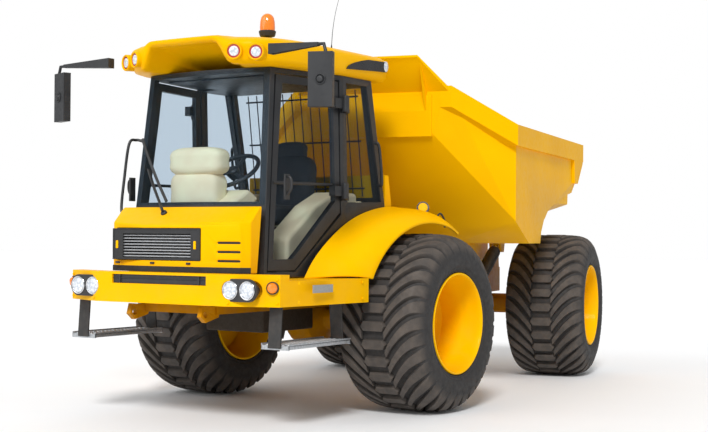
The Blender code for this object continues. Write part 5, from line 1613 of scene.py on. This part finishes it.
@dataclass
class Fenders:
    """The two front fenders, each with a filler cap and a grab handle.

    Args:
        arch: the radius of the wheel arch.
        lip_start: the lip's first angle about the axle, in degrees, 0 being straight ahead.
        lip_end: its last angle.
        gap: how far the lip stands outside the arch.
        flange: how far the lip turns in towards the axle.
        wall: the thickness.
        crown: how far the skin bulges between its two edges.
        inner: the edge beside the cab, from the skirt to the back.
    """

    arch: float = 0.716
    lip_start: float = 27.0
    lip_end: float = 118.0
    gap: float = 0.020
    flange: float = 0.018
    wall: float = 0.016
    crown: float = 0.046
    inner: tuple[tuple[float, float, float], ...] = (
        (0.664, -1.035, 0.957),
        (0.664, -0.925, 1.080),
        (0.664, -0.760, 1.205),
        (0.664, -0.560, 1.318),
        (0.664, -0.360, 1.395),
        (0.664, -0.120, 1.448),
        (0.664, 0.090, 1.466),
        (0.664, 0.250, 1.452),
        (0.664, 0.388, 1.415),
    )

    def skin(self) -> Shape:
        """The fender as a thick sheet between the cab-side edge I(u) and the arch lip L(u).

        The point at (u, v) is I + (L - I) v, pushed outwards and away from the axle by
        crown * sin(pi v ^ 1.3). The lip turns in by the flange, and the under side is the upper one
        drawn towards the axle by the wall.

        Returns:
            The left fender.
        """
        inner = curved(self.inner, 6)
        u = np.linspace(0, 1, len(inner))
        angle = np.radians(self.lip_start + (self.lip_end - self.lip_start) * u)
        x = 0.975 + 0.13 * np.minimum(1.0, u * 1.15) ** 1.3
        radius = self.arch + self.gap
        lip = np.stack([x, -radius * np.cos(angle), AXLE_HEIGHT + radius * np.sin(angle)], -1)
        v = np.linspace(0, 1, 15)[None, :, None]
        sheet = inner[:, None] + (lip - inner)[:, None] * v
        push = np.stack([np.full_like(u, 0.55), -0.75 * np.cos(angle), 0.75 * np.sin(angle)], -1)[:, None]
        sheet = sheet + push * self.crown * np.sin(math.pi * v**1.3)
        towards = np.stack([np.zeros_like(u), np.cos(angle), -np.sin(angle)], -1)[:, None]
        flange = sheet[:, -1:] + towards * self.flange
        outer = np.concatenate([sheet, flange], 1)
        under = np.concatenate([sheet[:, :-1] + towards * self.wall, flange - np.array([self.wall, 0, 0])], 1)
        return loft(np.concatenate([outer, under[:, ::-1]], 1))

    def build(self) -> None:
        """Makes both fenders with their caps and handles."""
        shape = self.skin()
        foot, axis = (0.80, 0.33, 1.462), (0.5, -0.82, 0.28)
        cap = [(-0.06, 0), (-0.06, 0.036), (0.006, 0.036), (0.010, 0.032), (0.010, 0)]
        edge = [(-0.02, 0.035), (0.006, 0.035), (0.006, 0.047), (-0.02, 0.048)]
        bow = np.array([(0.29, 1.35), (0.335, 1.405), (0.385, 1.412), (0.45, 1.345), (0.435, 1.315)])
        filler = revolved(cap, foot, axis, 40)
        collar = revolved(edge, foot, axis, 40, closed=True)
        grip = tube(curved(np.insert(bow, 0, 0.93, axis=1)), 0.0075)
        for side, out in SIDES.items():
            make(
                f"fender_moulding_{side}",
                shape.flipped(out),
                Finish.YELLOW,
                bevel=0.005,
                angle=48,
                replaces=[f"fender_{side}"],
                segments=3,
            )
            make(f"filler_cap_{side}", filler.flipped(out), Finish.RIM)
            make(f"filler_collar_{side}", collar.flipped(out), Finish.MOULDED)
            make(f"fender_grip_{side}", grip.flipped(out), Finish.CHASSIS_BLACK)


# ---------------------------------------------------------------- cab


@dataclass
class Cab:
    """The cab: its frame, panes, door furniture, guard bars and hand rails.

    Args:
        low: the floor's height.
        top: the roof rail's height.
        rear: the rear face at the floor and at the top.
        guard_bars: how many upright bars guard the rear window.
    """

    low: float = 0.965
    top: float = 2.38
    rear: tuple[float, float] = (0.01, -0.195)
    guard_bars: int = 13

    def behind(self, z: float) -> float:
        """How far back the rear face is at a height."""
        part = (z - self.low) / (self.top - self.low)
        return self.rear[0] + part * (self.rear[1] - self.rear[0])

    def build_panes(self) -> None:
        """Gives every pane its tint; the front screen is the clearest."""
        dress("windshield", Finish.SCREEN)
        for side in SIDES:
            dress(f"door_glass_{side}", Finish.SIDE_PANE)
            dress(f"quarter_glass_{side}", Finish.SIDE_PANE)
        dress("rear_window", Finish.SIDE_PANE)

    def build_guard(self) -> None:
        """Makes the upright bars behind the rear window, held by three cross bars."""
        x = np.linspace(-0.5, 0.5, self.guard_bars)
        foot, head = (np.array([0.0, self.behind(z) + 0.022, z]) for z in (1.54, 2.33))
        bar = tube(foot + (head - foot) * np.linspace(0, 1, 3)[:, None], 0.0045, 8)
        bars = bar.at(np.stack([x, np.zeros_like(x), np.zeros_like(x)], -1))
        rails = [
            tube(np.array([(u, self.behind(z) + 0.022, z) for u in (-0.52, 0.0, 0.52)]), 0.007, 8)
            for z in (1.6, 1.95, 2.28)
        ]
        make("rear_guard", merged([bars, *rails]), Finish.CAB_BLACK)

    def build_door_fittings(self, side: str) -> None:
        """Makes the door's handle, latch plate and inner bar, and the hinge covers beside it.

        Args:
            side: "left" or "right".
        """
        out = SIDES[side]
        door = f"door_{side}"
        plate = block((0.682, -1.298, 1.485), (0.697, -1.243, 1.655))
        bow = [(0.69, -1.27, 1.64), (0.722, -1.27, 1.625), (0.724, -1.268, 1.56), (0.69, -1.268, 1.515)]
        handle = merged([plate, tube(curved(bow), 0.0095, 12, (0, 1, 0))]).flipped(out)
        make(f"door_handle_{side}", handle, Finish.MOULDED, door, bevel=0.006)
        bar = tube(np.array([(0.575, -1.27, 1.60), (0.607, -0.95, 1.603), (0.632, -0.66, 1.605)]), 0.011, 12)
        make(f"door_inner_bar_{side}", bar.flipped(out), Finish.MOULDED, door)
        cover = block((0.675, -0.605, -0.062), (0.716, -0.552, 0.062))
        covers = cover.at(np.array([(0, 0, 1.56), (0, 0, 2.18)])).flipped(out)
        make(f"hinge_covers_{side}", covers, Finish.MOULDED, bevel=0.016, segments=4)

    def build_rails(self, side: str) -> None:
        """Makes the long grip on the rear pillar and, on the right, the bent rail at the front pillar.

        Args:
            side: "left" or "right".
        """
        out = SIDES[side]
        front = curved(
            [
                (0.62, -1.40, 1.40), (0.675, -1.396, 1.42), (0.682, -1.36, 1.66), (0.672, -1.325, 1.895),
                (0.655, -1.27, 1.925), (0.61, -1.24, 1.915),
            ]
        )
        rear = curved(
            [(0.655, -0.075, 1.62), (0.69, -0.085, 1.64), (0.69, -0.125, 1.90), (0.655, -0.135, 1.93)]
        )
        rails = [tube(rear, 0.011, 12, (0, 1, 0.1))]
        if side == "right":
            rails.append(tube(front, 0.0105, 12, (0, 1, 0.1)))
        make(f"hand_rails_{side}", merged(rails).flipped(out), Finish.CAB_BLACK)

    def build(self) -> None:
        """Makes the cab."""
        soften("cab_shell", Finish.CAB_BLACK, 0.006)
        self.build_panes()
        self.build_guard()
        for side in SIDES:
            soften(f"door_{side}", Finish.CAB_BLACK, 0.006)
            self.build_door_fittings(side)
            self.build_rails(side)


@dataclass
class Interior:
    """What shows through the panes: seat, steering wheel, consoles and trim.

    Args:
        wheel_centre: the steering wheel's middle.
        wheel_radius: its radius to the middle of the rim.
        wheel_tilt: how far it leans back, in degrees.
        seat_y: the seat's middle.
        seat_z: the seat's foot.
        seat_lean: how far its back leans, in degrees.
    """

    wheel_centre: tuple[float, float, float] = (0.0, -0.985, 1.70)
    wheel_radius: float = 0.198
    wheel_tilt: float = 36.0
    seat_y: float = -0.56
    seat_z: float = 1.30
    seat_lean: float = 9.0

    def build_wheel(self) -> None:
        """Makes the steering wheel: a round rim, three flat spokes and a hub on a column."""
        turn = np.linspace(0, 2 * math.pi, 20, endpoint=False)
        rim = np.stack([0.0155 * np.cos(turn), self.wheel_radius + 0.0155 * np.sin(turn)], -1)
        hub = [(-0.06, 0), (-0.06, 0.03), (-0.01, 0.05), (0.012, 0.05), (0.02, 0.04), (0.02, 0)]
        arm = np.array([(0.03, 0, -0.004), (0.11, 0, -0.008), (0.195, 0, 0)])
        spoke = tube(arm, 0.017, 12, UP, 0.35)
        parts = [revolved(rim, ORIGIN, UP, 72, closed=True), revolved(hub, ORIGIN, UP, 40)]
        parts += [spoke.turned("Z", angle) for angle in (90, 210, 330)]
        shape = merged(parts).turned("X", self.wheel_tilt).moved(self.wheel_centre)
        make("steering_rim", shape, Finish.MOULDED, replaces=["steering_wheel"])

    def build_seat(self) -> None:
        """Makes the padded seat: base cushion, backrest, headrest and the suspension under it."""
        cushion = pillow((0, self.seat_y - 0.02, self.seat_z + 0.095), (0.245, 0.24, 0.075), 0.42)
        back = pillow(ORIGIN, (0.235, 0.065, 0.245), 0.45).turned("X", -self.seat_lean)
        head = pillow(ORIGIN, (0.135, 0.045, 0.075), 0.55).turned("X", -self.seat_lean)
        pads = (
            ("seat_cushion", cushion, ["seat"]),
            ("seat_backrest", back.moved((0, self.seat_y + 0.25, 1.60)), []),
            ("seat_headrest", head.moved((0, self.seat_y + 0.295, 1.875)), []),
        )
        for name, shape, nodes in pads:
            piece = make(name, shape, Finish.CLOTH, angle=60, replaces=nodes)
        bellows = [
            (0.0, 0.0), (0.0, 0.19), (0.03, 0.16), (0.06, 0.19), (0.09, 0.16), (0.12, 0.19), (0.15, 0.16),
            (0.2, 0.2), (0.2, 0),
        ]
        base = revolved(np.array(bellows) * (1.6, 1), (0, self.seat_y, 0.985), UP, 4)
        base = base.turned("Z", 45, (0, self.seat_y, 0))
        make("seat_suspension", base, Finish.MOULDED, bevel=0.008)

    def build_trim(self) -> None:
        """Makes the beige mouldings, which are the consoles, hood and rear panel, and the control lever."""
        soften("steering_console", Finish.TRIM, 0.03, segments=3)
        stand = pillow((-0.085, -1.25, 1.54), (0.215, 0.095, 0.15), 0.5, 0.0)
        hood = pillow((-0.07, -1.262, 1.755), (0.235, 0.095, 0.10), 0.55, 0.0)
        make("instrument_hood", merged([stand, hood]), Finish.TRIM, angle=60)
        outline = [(-1.0, 0.98), (-0.12, 0.98), (-0.12, 1.56), (-0.42, 1.56), (-0.66, 1.46), (-1.0, 1.22)]
        side = prism(outline, 0.30, 0.50, 0)
        sides = merged([side, side.flipped(-1.0)])
        panel = block((-0.54, -0.155, 0.985), (0.54, -0.105, 1.50))
        make("side_consoles", sides, Finish.TRIM, bevel=0.03, segments=3)
        make("rear_trim_panel", panel, Finish.TRIM, bevel=0.015)
        post = tube(curved([(-0.40, -0.75, 1.42), (-0.40, -0.80, 1.52), (-0.40, -0.82, 1.62)]), 0.012)
        ball = [(0, 0), (0, 0.02), (0.03, 0.028), (0.055, 0.02), (0.06, 0)]
        knob = revolved(ball, (-0.40, -0.82, 1.61), UP, 24)
        make("control_lever", merged([post, knob]), Finish.MOULDED)

    def build(self) -> None:
        """Makes everything inside the cab."""
        self.build_wheel()
        self.build_seat()
        self.build_trim()


# ---------------------------------------------------------------- roof and what stands on it


@dataclass
class Roof:
    """The moulded roof with its lamp pods, decals, beacon and antenna.

    Args:
        half: half its width.
        front: its front edge.
        rear: its rear edge.
        low: the pods' lowest height.
        crown: its highest height.
        lift: how far the visor's underside rises between the pods.
        levels: pairs of a height over the lowest and the plan's scale there, from the underside to the top.
    """

    half: float = 0.72
    front: float = -1.565
    rear: float = 0.06
    low: float = 2.3825
    crown: float = 2.59
    lift: float = 0.150
    levels: tuple[tuple[float, float], ...] = (
        (0.0, 0.0),
        (0.0, 0.35),
        (0.0, 0.80),
        (0.0, 0.92),
        (0.010, 0.965),
        (0.040, 0.985),
        (0.110, 1.0),
        (0.140, 0.998),
        (0.158, 0.985),
        (0.178, 0.94),
        (0.192, 0.86),
        (0.203, 0.66),
        (0.2075, 0.35),
        (0.2075, 0.0),
    )

    def outline(self, turn: np.ndarray) -> np.ndarray:
        """The plan at each angle: an oval squared off, more at the rear corners than at the front ones.

        Args:
            turn: angles round the plan, in radians.

        Returns:
            A row of X and Y for each angle.
        """
        cos, sin = np.cos(turn), np.sin(turn)
        power = 2 / np.where(sin < 0, 3.3, 11.0)
        x = np.sign(cos) * np.abs(cos) ** power
        y = np.sign(sin) * np.abs(sin) ** power
        middle = (self.front + self.rear) / 2
        return np.stack([x * self.half, middle + y * (self.rear - self.front) / 2], -1)

    def shell(self) -> Shape:
        """The roof's skin: the plan drawn in at each level, with the underside raised between the pods.

        A point rises by lift * S(x) * S(y) * (how far it is below the crown), where S goes smoothly
        from 0 to 1 inside the pods and ahead of the windscreen.

        Returns:
            The shape.
        """
        turn = np.linspace(0, 2 * math.pi, 160, endpoint=False)
        plan = self.outline(turn)
        middle = np.array([0.0, (self.front + self.rear) / 2])
        z, scale = np.array(self.levels).T
        flat = middle + (plan - middle)[:, None] * scale[None, :, None]
        height = np.broadcast_to(self.low + z, flat.shape[:2])
        inside = np.clip((0.385 - np.abs(flat[..., 0])) / 0.11, 0, 1)
        ahead = np.clip((-1.28 - flat[..., 1]) / 0.12, 0, 1)
        rise = self.lift * (3 - 2 * inside) * inside**2 * (3 - 2 * ahead) * ahead**2
        height = height + rise * (self.crown - height) / (self.crown - self.low)
        return grid(np.concatenate([flat, height[..., None]], -1), wrap_u=True)

    def build_lamps(self, side: str) -> None:
        """Makes the pod's two work lamps: yellow rims with a red ring round white lenses.

        Args:
            side: "left" or "right".
        """
        out = SIDES[side]
        axis = (0.36 * out, -0.93, -0.03)
        places = np.array([(0.435 * out, -1.522, 2.462), (0.572 * out, -1.462, 2.455)])
        rim = [(-0.09, 0.058), (0.010, 0.058), (0.017, 0.053), (0.014, 0.047), (0.004, 0.044), (-0.09, 0.044)]
        red = [(0.0, 0.0455), (0.0075, 0.0455), (0.006, 0.034), (0.0, 0.034)]
        lens = [(0.0, 0), (0.0, 0.036), (0.009, 0.033), (0.013, 0.02), (0.0145, 0)]
        rims, reds = (revolved(part, ORIGIN, axis, 56, closed=True).at(places) for part in (rim, red))
        lenses = revolved(lens, ORIGIN, axis, 48).at(places)
        make(f"work_lamp_rims_{side}", rims, Finish.YELLOW)
        make(f"work_lamp_reds_{side}", reds, Finish.RED)
        make(f"work_lamp_lenses_{side}", lenses, Finish.LAMP)

    def build_decal(self, side: str) -> None:
        """Makes the blank black flash on the roof's side and the oval lamp at its end.

        Args:
            side: "left" or "right".
        """
        out = SIDES[side]
        y = np.linspace(-0.60, -0.07, 40)
        part = (y + 0.60) / 0.53
        low = 2.425 + 0.030 * part
        high = low + 0.086 * np.sqrt(np.clip(part * 1.9, 0, 1)) * (1 - 0.15 * part)
        corners = ((0.7215, low), (0.7215, high), (0.705, high), (0.705, low))
        loops = np.stack([np.stack([np.full_like(y, x), y, z], -1) for x, z in corners], 1)
        make(f"roof_flash_{side}", loft(loops).flipped(out), Finish.DECAL, bevel=0.001)
        lens = [(-0.01, 0), (-0.01, 0.04), (0.004, 0.038), (0.008, 0.025), (0.0095, 0)]
        round_lens = revolved(lens, ORIGIN, (1, 0, 0), 40)
        oval = Shape(round_lens.points * (1, 0.75, 1), round_lens.faces).moved((0.719, -0.085, 2.494))
        make(f"roof_side_lamp_{side}", oval.flipped(out), Finish.LAMP)

    def build_beacon(self) -> None:
        """Makes the beacon: a stub and a ribbed black base, and an amber dome on them."""
        foot = (0.30, -0.98, self.crown - 0.001)
        base = [
            (0, 0), (0, 0.028), (0.006, 0.028), (0.010, 0.014), (0.038, 0.013), (0.042, 0.030),
            (0.048, 0.052), (0.060, 0.0565), (0.068, 0.0575), (0.072, 0.060), (0.084, 0.060),
            (0.088, 0.054), (0.088, 0),
        ]
        dome = [
            (0.086, 0), (0.086, 0.0525), (0.110, 0.0535), (0.150, 0.0515), (0.180, 0.045), (0.198, 0.032),
            (0.207, 0.016), (0.2105, 0),
        ]
        stem = revolved(base, foot, UP, 48)
        make("beacon_base", stem, Finish.MOULDED, replaces=["beacon"])
        make("beacon_dome", revolved(dome, foot, UP, 64), Finish.AMBER)

    def build_antenna(self) -> None:
        """Makes the antenna: a sprung foot and a tapering whip that leans back."""
        spring = [
            (0, 0), (0, 0.014), (0.012, 0.013), (0.03, 0.006), (0.04, 0.0065), (0.05, 0.005),
            (0.062, 0.003), (0.062, 0),
        ]
        foot = revolved(spring, (0.40, -0.33, 2.589), UP, 24)
        path = curved([(0.40, -0.33, 2.64), (0.40, -0.315, 2.76), (0.40, -0.285, 2.88), (0.40, -0.24, 2.998)])
        antenna = merged([foot, tube(path, np.linspace(0.0026, 0.0014, len(path)), 8)])
        make("antenna_whip", antenna, Finish.MOULDED, replaces=["antenna"])

    def build(self) -> None:
        """Makes the roof and what stands on it."""
        make("roof_moulding", self.shell(), Finish.YELLOW, angle=50, replaces=["cab_roof"])
        for side in SIDES:
            self.build_lamps(side)
            self.build_decal(side)
        self.build_beacon()
        self.build_antenna()


@dataclass
class Mirrors:
    """The two mirrors on their arms, each with a ball mount.

    Args:
        head: the middle of a head.
    """

    head: tuple[float, float, float] = (1.139, -1.527, 2.233)

    def build(self) -> None:
        """Makes both mirrors."""
        disc = [
            (0, 0), (0, 0.034), (0.006, 0.034), (0.009, 0.029), (0.004, 0.024), (0.018, 0.018), (0.022, 0)
        ]
        front = (self.head[0] + 0.012, self.head[1] - 0.026, self.head[2])
        collar = revolved(disc, front, (0.34, -0.94, 0), 36)
        for side, out in SIDES.items():
            soften(f"mirror_{side}", Finish.MOULDED, 0.022, segments=4)
            make(f"mirror_mount_{side}", collar.flipped(out), Finish.MOULDED)


# ---------------------------------------------------------------- hopper


@dataclass
class Hopper:
    """The tipping body.

    Args:
        edge: the width of a folded edge.
    """

    edge: float = 0.008

    def build(self) -> None:
        """Makes the body, with its folds rounded."""
        soften("dump_body", Finish.YELLOW, self.edge, 30, 3)


def main() -> None:
    """Builds the studio and every part of the truck, in order."""
    logging.basicConfig(level=logging.INFO, format="%(message)s")
    Studio().build()
    for axle in ("front", "rear"):
        for side in SIDES:
            Wheel(side, axle).build()
    for part in (Chassis(), Bumper(), Cowl(), Fenders(), Cab(), Interior(), Roof(), Mirrors(), Hopper()):
        part.build()
        LOG.info("%s finished", type(part).__name__)


if __name__ == "__main__":
    main()
